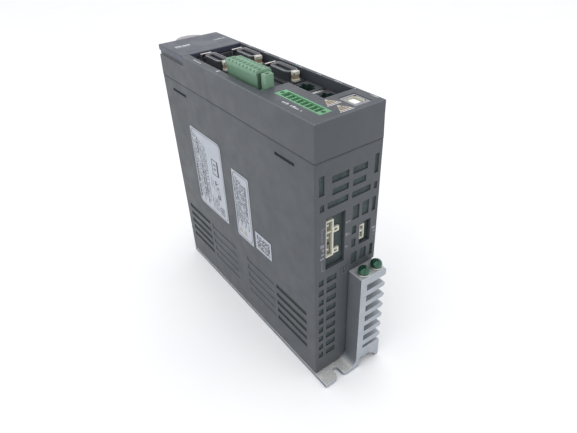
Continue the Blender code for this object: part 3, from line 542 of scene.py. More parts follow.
REPAINTED = (
    (ALUMINIUM, 25, "heatsink"),
    (CASE, 30, "rear_housing"),
    (COVER, 30, "front_cover"),
    (CAP, 30, "front_cap"),
    (SMOKE, 30, "cap_thumb_tab"),
    (FOIL, 35, "rating_label caution_label code_label"),
    (JACK, 35, "rj45_jack_1 rj45_jack_2"),
    (SHIELD, 35, "usb_shell"),
    (HEADER_GREEN, 35, "io_header plug_header"),
    (IVORY, 35, "motor_connector input_connector aux_connector"),
    (BOARD, 35, "power_board control_board terminal_board"),
    (SLEEVE, 30, "bus_capacitor_1 bus_capacitor_2 bus_capacitor_3"),
    (EPOXY, 35, "power_module bridge_rectifier"),
    (RELAY, 35, "soft_start_relay"),
    (COPPER, 30, "input_choke"),
    (FERRITE, 35, "supply_transformer"),
    (BLACK, 35, "board_link"),
    (NICKEL, 35, "board_standoff_1 board_standoff_2 board_standoff_3 board_standoff_4"),
)


def repaint_nodes():
    """Gives the CAD nodes that stay their final materials and clean shading."""
    for finish, smooth, names in REPAINTED:
        for name in names.split():
            made = NODES[name]
            made.data.materials.clear()
            made.data.materials.append(finish)
            weld = made.modifiers.new("weld", "WELD")
            weld.merge_threshold = 1e-6
            angle = made.modifiers.new("flat_faces", "EDGE_SPLIT")
            angle.split_angle = math.radians(smooth)


# ---- print


def text_line(start, along, across, length, height, seed, tight=0.35):
    """Boxes of uneven width in a row, which stand for a line of small print."""
    dice = random.Random(seed)
    along, across, start = Vector(along), Vector(across), Vector(start)
    out = along.cross(across)
    found = []
    reach = 0.0
    while reach < length:
        width = min(height * dice.uniform(0.35, 0.95), length - reach)
        tall = height * dice.choice((0.62, 0.62, 0.8, 1.0))
        if dice.random() < 0.86 and width > 0.05:
            corner = start + along * reach
            found.append((corner, corner + along * width + across * tall + out * PRINT_T))
        reach += width + height * tight * dice.uniform(0.6, 1.6)
    return found


def frame_lines(start, along, across, width, height, line):
    """Four boxes that draw a rectangle's outline."""
    start, along, across = Vector(start), Vector(along), Vector(across)
    out = along.cross(across) * PRINT_T
    found = []
    for shift in (0.0, height - line):
        corner = start + across * shift
        found.append((corner, corner + along * width + across * line + out))
    for shift in (0.0, width - line):
        corner = start + along * shift + across * line
        found.append((corner, corner + along * line + across * (height - 2 * line) + out))
    return found


# ---- labels on the -X side


def on_label(label, u, v):
    """A place on a side label's face, u from its +Y edge and v down from its top."""
    low, high = corners(label)
    return low[0] - SKIN, high[1] - u, high[2] - v


def side_rectangle(label, u, v, width, height):
    x, y, z = on_label(label, u, v)
    return (x - PRINT_T, y - width, z - height), (x, y, z)


def side_column(label, u, v, length, size, seed, tight=0.35):
    """A column of small print that reads down a side label."""
    return text_line(on_label(label, u, v), (0, 0, -1), (0, 1, 0), length, size, seed, tight)


def side_outline(label, u, v, width, height, line):
    return frame_lines(on_label(label, u, v), (0, -1, 0), (0, 0, -1), width, height, line)


def add_band(shape, outer, inner, x):
    """A flat printed band between two outlines of (y, z) points on a side label."""
    rows = ((outer, x), (outer, x - PRINT_T), (inner, x - PRINT_T), (inner, x))
    add_rings(shape, [[(level, y, z) for y, z in outline] for outline, level in rows], True)


def clipped(label, inset, off):
    """A side label's outline drawn in by inset and cut across at its corners, as (y, z) points."""
    low, high = corners(label)
    y0, y1, z0, z1 = low[1] + inset, high[1] - inset, low[2] + inset, high[2] - inset
    lower = [(y0 + off, z0), (y1 - off, z0), (y1, z0 + off), (y1, z1 - off)]
    return lower + [(y1 - off, z1), (y0 + off, z1), (y0, z1 - off), (y0, z0 + off)]


def build_border(label, line=0.3):
    """The thin printed line round a side label."""
    x = corners(label)[0][0] - SKIN
    outer, inner = clipped(label, 1.1, 1.9), clipped(label, 1.1 + line, 1.8)
    piece(f"{label}_border", lambda shape: add_band(shape, outer, inner, x), GREY_INK)


def build_rating_label():
    label = "rating_label"
    build_border(label)
    fine = []
    for column in range(9):
        v = 3.4 + 0.9 * column
        length = 60.0 - v - 2.5 * (column % 3)
        fine += side_column(label, 2.2 + 2.2 * column, v, length, 1.4, column, 0.2)
    for column in range(5):
        fine += side_column(label, 24.0 + 2.6 * column, 32.0 + 1.5 * column, 8.0, 1.0, 20 + column)
    for column in range(5):
        fine += side_column(label, 22.5 + 2.2 * column, 49.0, 11.0, 1.3, 26 + column, 0.2)
    piece(f"{label}_fine_print", fine, GREY_INK)
    bold = []
    long_lines = (3.4, 28.0, 31.0), (12.0, 24.0, 34.0), (15.2, 30.0, 29.0), (9.2, 5.0, 15.0)
    for column, (u, v, length) in enumerate(long_lines):
        bold += side_column(label, u, v, length, 1.9, 40 + column)
    bold += side_outline(label, 27.5, 15.5, 9.0, 12.5, 0.7)
    for bar in ((34.6, 15.5, 1.9, 12.5), (29.6, 19.0, 3.4, 1.1), (29.6, 22.4, 3.4, 1.1)):
        bold.append(side_rectangle(label, *bar))
    bold += side_outline(label, 32.4, 54.0, 5.4, 6.4, 0.7)
    bold.append(side_rectangle(label, 34.2, 55.6, 1.8, 3.0))
    short_lines = (31.0, 33.0, 5.0), (33.2, 34.0, 5.5), (32.6, 42.0, 6.5), (35.0, 43.5, 6.0)
    for column, (u, v, length) in enumerate(short_lines):
        bold += side_column(label, u, v, length, 2.3, 50 + column, 0.12)
    piece(f"{label}_bold_print", bold, BLACK_INK)


def build_caution_label():
    label = "caution_label"
    build_border(label, 0.4)
    fine = []
    for column in range(10):
        v = 3.6 + 0.5 * column
        length = 43.0 - v - 2.5 * (column % 3)
        fine += side_column(label, 2.2 + 1.6 * column, v, length, 1.25, 60 + column, 0.14)
    piece(f"{label}_print", fine, GREY_INK)
    bold = side_column(label, 15.8, 8.0, 22.0, 1.2, 75) + side_column(label, 5.6, 5.0, 16.0, 1.2, 76)
    piece(f"{label}_bold_print", bold, BLACK_INK)

    def marks(shape):
        for u in (2.8, 8.6):
            x, y, z = on_label(label, u, 48.6)
            outer = [(y, z), (y - 4.6, z), (y - 2.3, z + 4.0)]
            inner = [(y - 1.2, z + 0.75), (y - 3.4, z + 0.75), (y - 2.3, z + 2.6)]
            add_band(shape, outer, inner, x)

    piece(f"{label}_marks", marks, YELLOW_INK)


def build_code_label():
    """A generic block of random squares, which encodes nothing."""
    low, high = corners("code_label")
    dice = random.Random(7)
    step, margin = 0.72, 1.5
    rows = int((high[2] - low[2] - 2 * margin) / step)
    columns = int((high[1] - low[1] - 2 * margin) / step)
    x = low[0] - SKIN
    found = []
    for row in range(rows):
        for column in range(columns):
            if dice.random() < 0.56:
                y = (low[1] + high[1]) / 2 + (column - columns / 2) * step
                z = (low[2] + high[2]) / 2 + (row - rows / 2) * step
                found.append(((x - PRINT_T, y, z), (x, y + step * 0.96, z + step * 0.96)))
    piece("code_label_squares", found, CODE_INK)


# ---- print on the panel and end


def flat_print(x0, y0, x1, y1, level):
    """A thin printed rectangle on a face that looks up."""
    return (x0, y0, level), (x1, y1, level + PRINT_T)


def build_panel_print():
    level = corners("front_cover")[1][2] + SKIN

    def line(x, y, length, size, seed):
        """Print that reads along -Y."""
        return text_line((x, y, level), (0, -1, 0), (1, 0, 0), length, size, seed)

    pale = line(-18.8, -53.5, 7.0, 1.8, 101)
    pale += line(-18.8, -62.5, 9.0, 1.8, 102)
    for number, y in enumerate((40.0, 22.0, 3.0, -14.0, -34.0, -50.0, -66.0, -78.0)):
        pale += line(21.3, y, 6.0 if number % 2 else 4.0, 0.9, 110 + number)
    # A pale line along the recess's -X edge: a painted highlight on its sloped edge, drawn as print.
    pale += line(-21.4, 38.0, 10.0, 1.2, 130)
    piece("panel_print", pale, PALE_INK)
    lines = [flat_print(-21.2, 7.6, -18.6, 8.8, level)]
    for y in (-75.9, -85.6):
        lines.append(flat_print(-5.2, y, 3.9, y + 0.6, level))
        lines.append(flat_print(-4.4, y, -3.9, y + 1.0, level))
    piece("panel_lines", lines, PALE_INK)
    top = corners("front_cap")[1][2] + SKIN
    mark = []
    for start, length, shift in ((-18.0, 4.6, 0.0), (-12.8, 3.0, 0.5), (-9.4, 2.6, 0.2)):
        mark.append(flat_print(start, 70.6 - shift, start + length, 72.6 - shift, top))
    mark.append(flat_print(-18.2, 68.9, -8.0, 69.5, top))
    mark += text_line((10.8, 68.6, top), (1, 0, 0), (0, 1, 0), 9.6, 1.9, 140)
    piece("cap_print", mark, WHITE_INK)


def build_triangles():
    """Two plain triangular marks beside the serial-bus socket."""
    level = corners("front_cover")[1][2] + SKIN
    top = level + 2 * PRINT_T
    for number, base in enumerate((-74.7, -84.4), start=1):
        face = prism([(-4.5, base), (3.6, base), (-0.5, base + 7.2)], level, level + PRINT_T)
        piece(f"panel_triangle_{number}", face, CREAM_INK)
        stripes = []
        for row in range(3):
            y = base + 0.9 + row * 1.5
            half = 2.9 - row * 0.8
            stripes.append(flat_print(-0.5 - half, y, -0.5 + half * 0.85, y + 0.95, top))
        piece(f"panel_triangle_{number}_bars", stripes, BROWN_INK)


def build_end_print():
    """Marks beside the motor outlet on the -Y end, and a raised loop under it."""
    y = corners("rear_housing")[0][1] - SKIN

    def column(x, z, length, size, seed):
        return text_line((x, y, z), (0, 0, -1), (-1, 0, 0), length, size, seed)

    found = column(-17.0, 112.0, 11.0, 2.8, 150)
    for number, z in enumerate((119.0, 110.0, 101.6)):
        found += text_line((-1.4, y, z), (1, 0, 0), (0, 0, 1), 3.8, 1.9, 151 + number)
    found += column(22.2, 110.4, 9.5, 2.8, 155)
    brackets = (-16.4, 122.4, 122.8), (-18.5, 114.0, 122.4), (-18.5, 93.0, 99.5), (-16.4, 92.6, 93.0)
    for x1, z0, z1 in brackets:
        found.append(((-18.9, y - PRINT_T, z0), (x1, y, z1)))
    piece("end_print", found, LINE_INK)

    def loop(shape):
        """An upturned U with a stem, raised from the wall."""
        middle, low, radius, line = -1.6, 84.6, 2.3, 0.6
        back, face, top = y - 0.5, y + SKIN + 0.1, low + 3.0
        outline = [(middle - radius, top)] + arc((middle, low), radius, 180, 360, 12)
        outline += [(middle + radius, top), (middle + radius - line, top)]
        outline += arc((middle, low), radius - line, 360, 180, 12) + [(middle - radius + line, top)]
        prism(outline, back, face, "XZ")(shape)
        add_box(shape, (middle - line / 2, back, low - 0.9), (middle + line / 2, face, top))

    piece("end_raised_mark", loop, MARK_INK)


# ---- D ports


def d_outline(node, grow=0.0, corner=2.6):
    """The port's D shape, wider on its +X side, from the shell's place."""
    middle = centre_of(node)
    half_x, half_y = 4.2 + grow, 10.3 + grow
    slant = math.radians(10)
    lean = half_x * math.tan(slant)
    narrow = half_y - 2 * lean
    radius = corner + grow
    places = (
        ((half_x - radius, half_y - radius * 1.1), 0, 100),
        ((-half_x + radius, narrow - radius * 0.9), 100, 180),
        ((-half_x + radius, -narrow + radius * 0.9), 180, 260),
        ((half_x - radius, -half_y + radius * 1.1), 260, 360),
    )
    found = []
    for place, start, end in places:
        found += arc((place[0] + middle[0], place[1] + middle[1]), radius, start, end, 8)
    return found


def build_port(tag):
    """A shielded port: black body, thin bright rim, a slot between two rows of contacts."""
    shell, insert = f"port_{tag}_shell", f"port_{tag}_insert"
    low, high = corners(shell)
    x, y, _ = centre_of(shell)
    bottom, top = low[2], high[2]
    face = max(corners(insert)[1][2], top - 0.3)

    def layer(grow, base, level):
        return prism(d_outline(shell, grow), base, level)

    def body(shape):
        add_box(shape, low, (high[0], high[1], bottom + 1.2))
        layer(-0.08, bottom + 1.0, top - 0.45)(shape)

    inner = layer(-0.45, bottom - 1, top)
    piece(f"port_{tag}_body", body, BLACK, "drive", (shell,), [inner], 0.12)
    ring, inner = layer(0.0, top - 0.9, top), layer(-0.26, top - 3, top + 1)
    piece(f"port_{tag}_rim", ring, RIM, cuts=[inner], edge=0.07, segments=2)
    slot = [upright((x, y), 1.5, 7.6, face - 4.5, face + 1)]
    block = layer(-0.38, face - 7.0, face)
    piece(f"port_{tag}_block", block, INSERT, "drive", (insert,), [slot], 0.12)
    contacts = []
    for side in (-1, 1):
        for number in range(12):
            along = y + (number - 5.5) * 1.2
            contacts.append(
                ((x + side * 1.5, along - 0.28, face - 4.2), (x + side * 1.05, along + 0.28, face - 2.2))
            )
    piece(f"port_{tag}_contacts", contacts, BLACKENED, edge=0.06)
    blade = [upright((x, y), 0.35, 7.0, face - 4.5, face - 2.6)]
    piece(f"port_{tag}_blade", blade, INSERT, edge=0.15)


def build_near_latch(tag):
    """A cream block with a tan waist and a sprung steel cap, beside the port's near end."""
    node = f"port_{tag}_latch_1"
    (x0, y0, z0), (x1, y1, z1) = corners(node)
    waist_low, waist_high = 180.6, 182.8
    block = [((x0, y0, z0), (x1, y1, waist_low)), ((x0, y0 + 0.3, waist_high), (x1, y1, z1 - 0.35))]
    piece(f"port_{tag}_latch_block", block, IVORY, "drive", (node,), (), 0.3, 2)
    waist = [((x0 + 0.25, y0 + 0.6, waist_low - 0.1), (x1 - 0.25, y1 - 0.1, waist_high + 0.1))]
    piece(f"port_{tag}_latch_waist", waist, TAN, edge=0.15)
    cap = [
        ((x0, y0, z1 - 0.3), (x1 - 1.2, y1, z1)),
        ((x1 - 0.8, y0 + 0.4, z1 - 0.5), (x1, y1 - 0.4, z1)),
        ((x0 - 0.02, y0 - 0.02, waist_high + 0.4), (x0 + 0.5, y0 + 0.5, z1 - 0.2)),
    ]
    piece(f"port_{tag}_latch_cap", cap, NICKEL, edge=0.1)


def build_far_latch(tag):
    """A bent strip beside the port's far end: a foot, a riser and a lip folded over at the top."""
    node = f"port_{tag}_latch_2"
    (x0, y0, z0), (x1, y1, z1) = corners(node)
    outline = [(y0 + 0.9, z0), (y1, z0), (y1, z1 - 0.3), (y1 - 0.3, z1)]
    outline += [(y0, z1), (y0, z1 - 0.7), (y0 + 0.9, z1 - 0.9)]
    gap = [((x0 + 2.0, y0 - 1, z0 - 1), (x1 - 2.0, y1 + 1, z1 - 2.6))]
    strip = prism(outline, x0, x1, "YZ")
    piece(f"port_{tag}_far_lip", strip, NICKEL, "drive", (node,), [gap], 0.12, 2)


# ---- sockets


def build_jack(number):
    """A network jack: its dark body stays, with a face plate, spring tabs and eight contacts."""
    node = f"rj45_jack_{number}"
    (x0, y0, _), (x1, y1, top) = corners(node)
    middle = centre_of(node)[1]
    plate = [((x0, y0, top + SKIN), (x1, y1, top + 0.35))]
    outline = both_sides((x0, middle), [(2.6, 5.9), (9.4, 5.9), (9.4, 3.0), (11.6, 3.0)])
    mouth = prism(outline, top - 1, top + 2)
    piece(f"rj45_face_{number}", plate, BLACK, cuts=[mouth], edge=0.1)
    wires = []
    for wire in range(8):
        y = middle + (wire - 3.5) * 1.02
        wires.append(((x0 + 4.3, y - 0.2, top - 11.5), (x0 + 4.75, y + 0.2, top - 4.2)))
        wires.append(((x0 + 4.3, y - 0.2, top - 4.6), (x0 + 5.6, y + 0.2, top - 4.2)))
    piece(f"rj45_contacts_{number}", wires, GOLD)
    tabs = []
    for side in (-1, 1):
        wall, face = middle + side * 5.9, middle + side * 5.45
        tabs.append(((x0 + 4.6, wall, top - 6.0), (x0 + 7.4, face, top - 0.2)))
    piece(f"rj45_tabs_{number}", tabs, SHIELD, edge=0.1)


def build_jack_bridge():
    """The steel strip folded over between the two network jacks."""
    first, second = corners("rj45_jack_1"), corners("rj45_jack_2")
    y0, y1 = second[1][1] + 0.15, first[0][1] - 0.15
    x0, x1, top = first[0][0] + 0.6, first[1][0] - 1.0, first[1][2]
    piece("rj45_bridge", [((x0, y0, top - 2.6), (x1, y1, top - 0.1))], SHIELD, edge=0.5)
    fold = [((x0 + 1.0, y0 + 0.7, top - 0.3), (x1 - 2.0, y1 - 0.7, top + 0.3))]
    piece("rj45_bridge_fold", fold, TIN, edge=0.2)


def build_usb():
    """The square serial-bus socket: steel frame, ivory liner and a white tongue with four contacts."""
    x, y, _ = centre_of("usb_shell")
    top = corners("usb_shell")[1][2]
    liner = both_sides((x, y), [(-4.15, 4.35), (2.6, 4.35), (4.15, 2.8)])
    hollow = both_sides((x, y), [(-3.5, 3.9), (2.3, 3.9), (3.6, 2.6)])
    lining, inner = prism(liner, top - 8.0, top - 0.25), prism(hollow, top - 7.0, top + 1)
    piece("usb_liner", lining, IVORY, cuts=[inner], edge=0.12)
    tongue = [((x - 2.4, y - 2.9, top - 6.9), (x + 1.6, y + 2.9, top - 0.7))]
    piece("usb_white_tongue", tongue, WHITE, "drive", ("usb_tongue",), (), 0.35, 3)
    contacts = []
    for x0, x1 in ((x - 2.5, x - 2.35), (x + 1.55, x + 1.7)):
        for middle_y in (y - 1.5, y + 1.5):
            contacts.append(((x0, middle_y - 0.5, top - 6.0), (x1, middle_y + 0.5, top - 1.4)))
    piece("usb_contacts", contacts, GOLD)


# ---- green terminal blocks


PITCH = 3.81
POLES = 8
PLUG_SEAT = 181.0
CLAMP_LEVEL = 189.0


def build_io_header():
    """Detail in the flush header: partitions, tinned pins and a threaded nut at each end."""
    bottom, top = corners("io_header")[0][2], corners("io_header")[1][2]
    x, y, _ = centre_of("io_header")
    half = POLES * PITCH / 2
    walls, pins = [], []
    for number in range(1, POLES):
        place = x, y + (number - POLES / 2) * PITCH
        walls.append(upright(place, 2.95, 0.42, bottom + 1.7, top - 0.5))
    walls.append(((x - 2.95, y - half + 0.05, bottom + 1.7), (x - 1.5, y + half - 0.05, top - 1.0)))
    piece("io_header_partitions", walls, HEADER_GREEN, edge=0.08)
    for number in range(POLES):
        place = x, y + (number - (POLES - 1) / 2) * PITCH
        pins.append(upright(place, 0.58, 0.58, top - 6.5, top - 2.1))
    piece("io_header_pins", pins, DULL_TIN, edge=0.15)
    ends = (x, y - 17.1), (x, y + 17.1)
    holes = rods(ends, top - 5.5, 0.85, 6.0)
    piece("io_header_nuts", rods(ends, top - 5.0, 1.3, 3.6), DULL_TIN, cuts=[holes])


def add_funnel(shape, place, mouth, throat, slope, depth):
    """A square hole with a sloped mouth, cut down from place."""
    x, y, z = place
    rings = []
    levels = (mouth, z + 0.5), (mouth, z), (throat, z - slope), (throat, z - depth)
    for (half_x, half_y), level in levels:
        sides = (-half_x, -half_y), (half_x, -half_y), (half_x, half_y), (-half_x, half_y)
        rings.append([(x + a, y + b, level) for a, b in sides])
    add_rings(shape, rings)


def plug_shape(places, screws):
    """The pluggable block with funnels, clamp windows, ribs, a stepped flank and end lugs."""
    (x0, y0, z0), (x1, y1, top) = corners("terminal_plug")
    seat = PLUG_SEAT
    body_low, body_high = places[0] - PITCH / 2, y1 - 3.7
    near_x = screws[0][0]
    lug_x0, lug_x1 = near_x - 2.7, near_x + 2.7
    outline = [(x0, seat), (x1 - 1.1, seat), (x1 - 0.4, seat + 2.0), (x1, seat + 3.4), (x1, top - 1.6)]
    outline += [(x1 - 1.0, top - 0.2), (x0 + 6.4, top), (x0 + 0.4, top), (x0, top - 0.5)]
    plug = solid("plug_body", prism(outline, body_low, body_high, "XZ"))
    near_lug = [((lug_x0, y0, seat), (lug_x1, y0 + 4.2, top - 0.9))]
    web = [
        ((lug_x0, y0 + 3.5, seat), (lug_x1, body_low + 0.5, seat + 1.4)),
        ((lug_x1 - 1.4, y0 + 3.5, seat), (lug_x1 + 0.6, body_low + 0.5, top - 1.6)),
    ]
    far_lug = [
        ((x0 + 1.2, body_high - 0.5, seat), (lug_x1, y1, top - 0.9)),
        ((x0, body_high - 0.5, top - 3.2), (x0 + 2.0, y1 - 0.6, top - 1.6)),
    ]
    nose = [((near_x - 2.75, body_low + 1.5, z0), (near_x + 2.75, body_high - 0.4, seat + 1))]
    for added in (near_lug, web, far_lug, nose):
        cut(plug, added, "UNION")

    def entries(shape):
        for y in places:
            add_funnel(shape, (x0 + 3.6, y, top), (1.75, 1.55), (1.3, 1.2), 0.7, 7.5)

    def windows(shape):
        for y in places:
            add_rod(shape, (x1 - 3.0, y, CLAMP_LEVEL), (1, 0, 0), 1.42, 5.0)

    grooves, test_slots, notches = [], [], []
    for y in places[1:]:
        line = y - PITCH / 2
        grooves.append(((x0 - 1, line - 0.1, seat + 0.8), (x0 + 0.14, line + 0.1, top - 3.2)))
        grooves.append(((x1 - 1.3, line - 0.2, seat - 1), (x1 + 1, line + 0.2, top + 1)))
        grooves.append(((x0 + 6.2, line - 0.45, top - 0.7), (x1 + 1, line + 0.45, top + 1)))
    for y in places:
        test_slots.append(((x0 + 7.0, y - 0.55, top - 1.6), (x0 + 8.6, y + 0.55, top + 1)))
        notches.append(((x0 - 1, y - 0.75, top - 1.3), (x0 + 1.1, y + 0.75, top + 1)))
    notches.append(((x0 - 1, body_low - 1, seat - 1), (x0 + 0.35, body_high + 1, top - 3.6)))
    for tool in (entries, windows, grooves, test_slots, rods(screws, seat - 3, 1.4, 16), notches):
        cut(plug, tool)
    bevel(plug, 0.16, 2, 40)
    return plug


def build_plug():
    """The pluggable block, with the steel cages in its funnels and a plate of painted shade on its near
    end.
    """
    places = [centre_of(f"clamp_screw_{number + 1}")[1] for number in range(POLES)]
    screws = centre_of("flange_screw_1"), centre_of("flange_screw_2")
    fit(plug_shape(places, screws), PLUG_GREEN, "plug", ("terminal_plug",))
    low, high = corners("terminal_plug")
    x0, top = low[0], high[2]
    cages = []
    for y in places:
        for start, end, level in ((2.3, 2.6, 2.6), (4.7, 5.0, 2.6), (2.6, 4.7, 6.9)):
            cages.append(((x0 + start, y - 1.2, top - 7.4), (x0 + end, y + 1.2, top - level)))
    piece("plug_clamp_cages", cages, BLACKENED, "plug")
    # A thin darker plate on the body's near end: painted shade where the gap before the near lug falls
    # in shadow.
    near = places[0] - PITCH / 2
    plate = [((x0 + 0.6, near - 0.25, PLUG_SEAT + 0.3), (screws[0][0] + 3.9, near + 0.05, top - 1.5))]
    piece("plug_end_shade_plate", plate, SHADE_GREEN, "plug", edge=0.1)


def build_clamp_screw(number):
    """A screw along X, with a chamfered head and a straight slot."""
    node = f"clamp_screw_{number}"
    x0, x1 = corners(node)[0][0], corners(node)[1][0]
    _, y, z = centre_of(node)

    def body(shape):
        add_rod(shape, (x0, y, z), (1, 0, 0), 1.12, x1 - x0 - 0.25)
        add_rod(shape, (x1 - 0.27, y, z), (1, 0, 0), 1.12, 0.27, tip=0.85)

    slot = [((x1 - 0.6, y - 2, z - 0.2), (x1 + 1, y + 2, z + 0.2))]
    piece(f"{node}_fine", body, ZINC, node, (node,), [slot])


def build_flange_screw(number):
    """A dark upright screw, with a chamfered head and a straight slot."""
    node = f"flange_screw_{number}"
    low, high = corners(node)[0][2], corners(node)[1][2]
    middle = centre_of(node)
    profile = [(0, high), (0.85, high), (1.1, high - 0.25), (1.1, low + 0.3), (0.8, low), (0, low)]
    slot = [upright(middle, 2, 0.22, high - 0.8, high + 1)]
    piece(f"{node}_fine", lathe(profile, middle, 24), BLACKENED, node, (node,), [slot])


# ---- end connectors and ground screws


def build_power_connector(node, poles, end, partitions):
    """Partitions, olive boxes that paint the shade inside each pole, and tinned blades in an ivory power
    header; end is the sign of its Y.
    """
    low, high = corners(node)
    face = low[1] if end < 0 else high[1]
    x0, x1 = low[0], low[0] + 5.9
    pitch = (high[2] - low[2]) / poles
    half = pitch / 2 - 0.9
    walls, pins, shade_boxes = [], [], []
    for number in partitions:
        z = low[2] + number * pitch
        walls.append(((x0 + 0.85, face - end * 0.5, z - 0.45), (x1 - 0.85, face - end * 9.4, z + 0.45)))
    for number in range(poles):
        z = low[2] + (number + 0.5) * pitch
        pins.append(((x0 + 1.15, face - end * 1.3, z - 0.75), (x0 + 1.9, face - end * 9.2, z + 0.75)))
        # An olive box in each pole: painted shade for the inside of the connector.
        shade_boxes.append(((x0 + 2.6, face - end * 1.6, z - half), (x1 - 0.95, face - end * 9.3, z + half)))
    piece(f"{node}_partitions", walls, IVORY, edge=0.15)
    piece(f"{node}_pins", pins, TIN, edge=0.2)
    piece(f"{node}_liners", shade_boxes, OLIVE, edge=0.25)


def build_aux_connector():
    """The auxiliary outlet: a dark box that paints the shade in its mouth, an ivory bar across it and
    two pins.
    """
    (x0, y0, z0), (x1, _, z1) = corners("aux_connector")
    x, _, z = centre_of("aux_connector")
    # A dark box set in the outlet's mouth: painted shade.
    insert = [((x0 + 0.75, y0 + 1.6, z0 + 0.9), (x1 - 0.75, y0 + 5.6, z1 - 0.9))]
    piece("aux_connector_shade_box", insert, JACK, edge=0.15)
    bar = [((x0 + 0.6, y0 + 0.5, z - 0.6), (x1 - 0.6, y0 + 3.0, z + 0.9))]
    piece("aux_connector_bar", bar, IVORY, edge=0.15)
    pins = []
    for level in (z - 2.1, z + 2.1):
        pins.append(((x - 0.38, y0 + 0.7, level - 0.38), (x + 0.38, y0 + 1.9, level + 0.38)))
    piece("aux_connector_pins", pins, DULL_TIN, edge=0.1)


def build_ground_screw(number):
    """A green pan-head screw with a cross recess and a thread."""
    node = f"ground_screw_{number}"
    low, high = corners(node)
    x, y, _ = centre_of(node)
    bottom, top = low[2], high[2]
    under = corners(f"ground_washer_{number}")[1][2] + 0.3
    radius = (high[0] - low[0]) / 2
    profile = [(0, top)]
    dome_degrees, dome_steps = 78, 8
    for step in range(1, dome_steps + 1):
        angle = math.radians(90 - dome_degrees * step / dome_steps)
        rise = (top - under - 0.8) * math.sin(angle)
        profile.append((radius * math.cos(angle) ** 0.8, under + 0.8 + rise))
    profile += [(radius, under + 0.9), (radius, under + 0.25), (radius - 0.25, under)]
    profile += [(2.0, under), (2.0, bottom + 0.4), (1.6, bottom), (0, bottom)]
    cross = (1.8, 0.36), (0.36, 1.8)
    recess = [upright((x, y), half_x, half_y, top - 1.5, top + 1) for half_x, half_y in cross]
    piece(f"{node}_fine", lathe(profile, (x, y)), GROUND, node, (node,), [recess])
    pitch, steps_per_turn, fade_steps = 0.7, 24, 12
    start = bottom + 0.4
    count = int((under - 0.9 - start) / pitch * steps_per_turn)

    def thread(shape):
        """A ridge of triangular section wound round the shank, fading at both ends."""
        rings = []
        for step in range(count + 1):
            angle = 2 * math.pi * step / steps_per_turn
            z = start + pitch * step / steps_per_turn
            fade = min(1.0, step / fade_steps, (count - step) / fade_steps)
            ring = []
            for reach, rise in ((1.98, -0.22), (2.0 + 0.2 * fade, 0.0), (1.98, 0.22)):
                ring.append((x + reach * math.cos(angle), y + reach * math.sin(angle), z + rise))
            rings.append(ring)
        add_rings(shape, rings)

    piece(f"{node}_thread", thread, GROUND, node, smooth=30)


def build_ground_washer(number):
    """A flat washer, and the toothed ring between it and the screw's head."""
    node = f"ground_washer_{number}"
    low, high = corners(node)
    middle = centre_of(f"ground_screw_{number}")
    bottom, top = low[2], high[2]
    outer = (high[0] - low[0]) / 2
    flat = [(2.3, top - 0.1), (outer - 0.2, top - 0.1), (outer, top - 0.25)]
    flat += [(outer, bottom + 0.15), (outer - 0.15, bottom), (2.3, bottom), (2.3, top - 0.1)]
    piece(f"{node}_fine", lathe(flat, middle), ZINC, node, (node,))

    def teeth(shape):
        count = 16
        tilt = Matrix.Translation((3.1, 0, 0)) @ Matrix.Rotation(math.radians(24), 4, "X")
        size = Matrix.Diagonal((1.3, 0.75, 0.16)).to_4x4()
        for tooth in range(count):
            turn = Matrix.Rotation(2 * math.pi * tooth / count, 4, "Z")
            place = Matrix.Translation((middle[0], middle[1], top)) @ turn
            bmesh.ops.create_cube(shape, size=1.0, matrix=place @ tilt @ size)

    piece(f"{node}_teeth", teeth, ZINC, node)


# ---- screens, seam and floor


SHELF_X, SHELF_Z = 0.2, 84.0
VENTS_TOP = 161.0


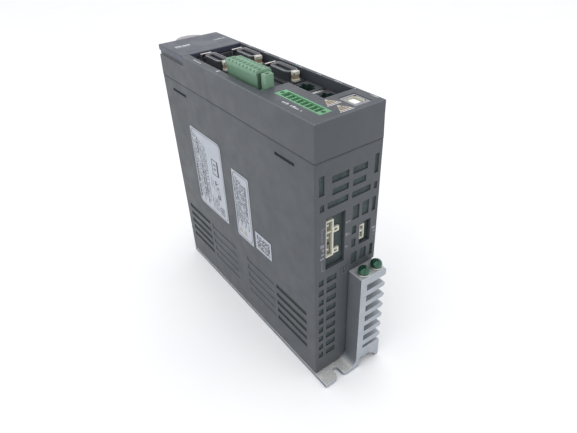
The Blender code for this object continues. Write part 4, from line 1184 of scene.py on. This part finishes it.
def build_screens():
    """Fine screens set into the vented walls, and further back behind the connectors' openings; their
    dark cloth is painted shade for the depth behind the vents.
    """
    low, high = corners("rear_housing")
    left, right, bottom, wide = low[0] + 2.4, high[0] - 2.4, low[2] + 8.7, 3.7
    outline = [(left, bottom), (SHELF_X, bottom), (SHELF_X, SHELF_Z), (right, SHELF_Z)]
    outline += [(right, VENTS_TOP), (left, VENTS_TOP)]
    for name, face, end, nodes in (
        ("near", low[1], 1, (("motor_connector", 8.0), ("aux_connector", 4.0))),
        ("far", high[1], -1, (("input_connector", 4.0),)),
    ):
        y0, y1 = sorted((face + end * 0.8, face + end * 1.1))
        b0, b1 = sorted((face + end * 2.35, face + end * 2.65))
        openings, shade_backing = [], []
        for node, tall in nodes:
            (x0, _, z0), (x1, _, z1) = corners(node)
            openings.append([((x0 - 0.5, y0 - 1, z0 - tall), (x1 + wide, y1 + 1, z1 + 4.0))])
            # Sheets further back round each connector: painted shade where the opening shows the inside.
            side = x0 + min(6.0, x1 - x0) + 0.1
            shade_backing.append(((side, b0, z0 - tall - 1), (x1 + wide + 1, b1, z1 + 5.0)))
            shade_backing.append(((x0 - 1.5, b0, z0 - tall - 1), (side, b1, z0 - 0.1)))
            shade_backing.append(((x0 - 1.5, b0, z1 + 0.1), (side, b1, z1 + 5.0)))
        piece(f"{name}_screen", prism(outline, y0, y1, "XZ"), SCREEN, cuts=openings)
        piece(f"{name}_backing", shade_backing, SCREEN)
    # Sheets of darker cloth just inside the -X side slots and the latch window: painted shade.
    sides = []
    for depth, z0, z1 in ((0.6, 20.0, 57.0), (0.9, 150.0, 160.0)):
        sides.append(((low[0] + depth, low[1] + 4.0, z0), (low[0] + depth + 0.3, high[1] - 4.0, z1)))
    piece("side_shade_sheets", sides, DEEP_SHADE_SHEET)


def build_seam():
    """A strip that closes the fine seam between the housing and the front cover, set back from both."""
    (x0, y0, _), (x1, y1, top) = corners("rear_housing")
    bottom, top = top + 0.02, corners("front_cover")[0][2] - 0.02
    band = [((x0 + 0.05, y0 + 0.05, bottom), (x1 - 0.05, y1 - 0.05, top))]
    inner = [((x0 + 1.2, y0 + 1.2, bottom - 1), (x1 - 1.2, y1 - 1.2, top + 1))]
    piece("seam_strip", band, CASE, cuts=[inner])


def build_floor():
    floor = solid("floor", [((-4000, -4000, -5.0), (4000, 4000, -0.4))])
    floor.data.materials.append(studio_floor("pale_floor"))


set_camera()
set_light()
build_floor()
repaint_nodes()
build_rating_label()
build_caution_label()
build_code_label()
build_panel_print()
build_triangles()
build_end_print()
for port in "abc":
    build_port(port)
    build_near_latch(port)
    build_far_latch(port)
for jack in (1, 2):
    build_jack(jack)
build_jack_bridge()
build_usb()
build_io_header()
build_plug()
for clamp in range(1, POLES + 1):
    build_clamp_screw(clamp)
for flange in (1, 2):
    build_flange_screw(flange)
build_power_connector("motor_connector", 3, -1, (2,))
build_power_connector("input_connector", 4, 1, (1, 2, 3))
build_aux_connector()
for ground in (1, 2):
    build_ground_screw(ground)
    build_ground_washer(ground)
build_screens()
build_seam()
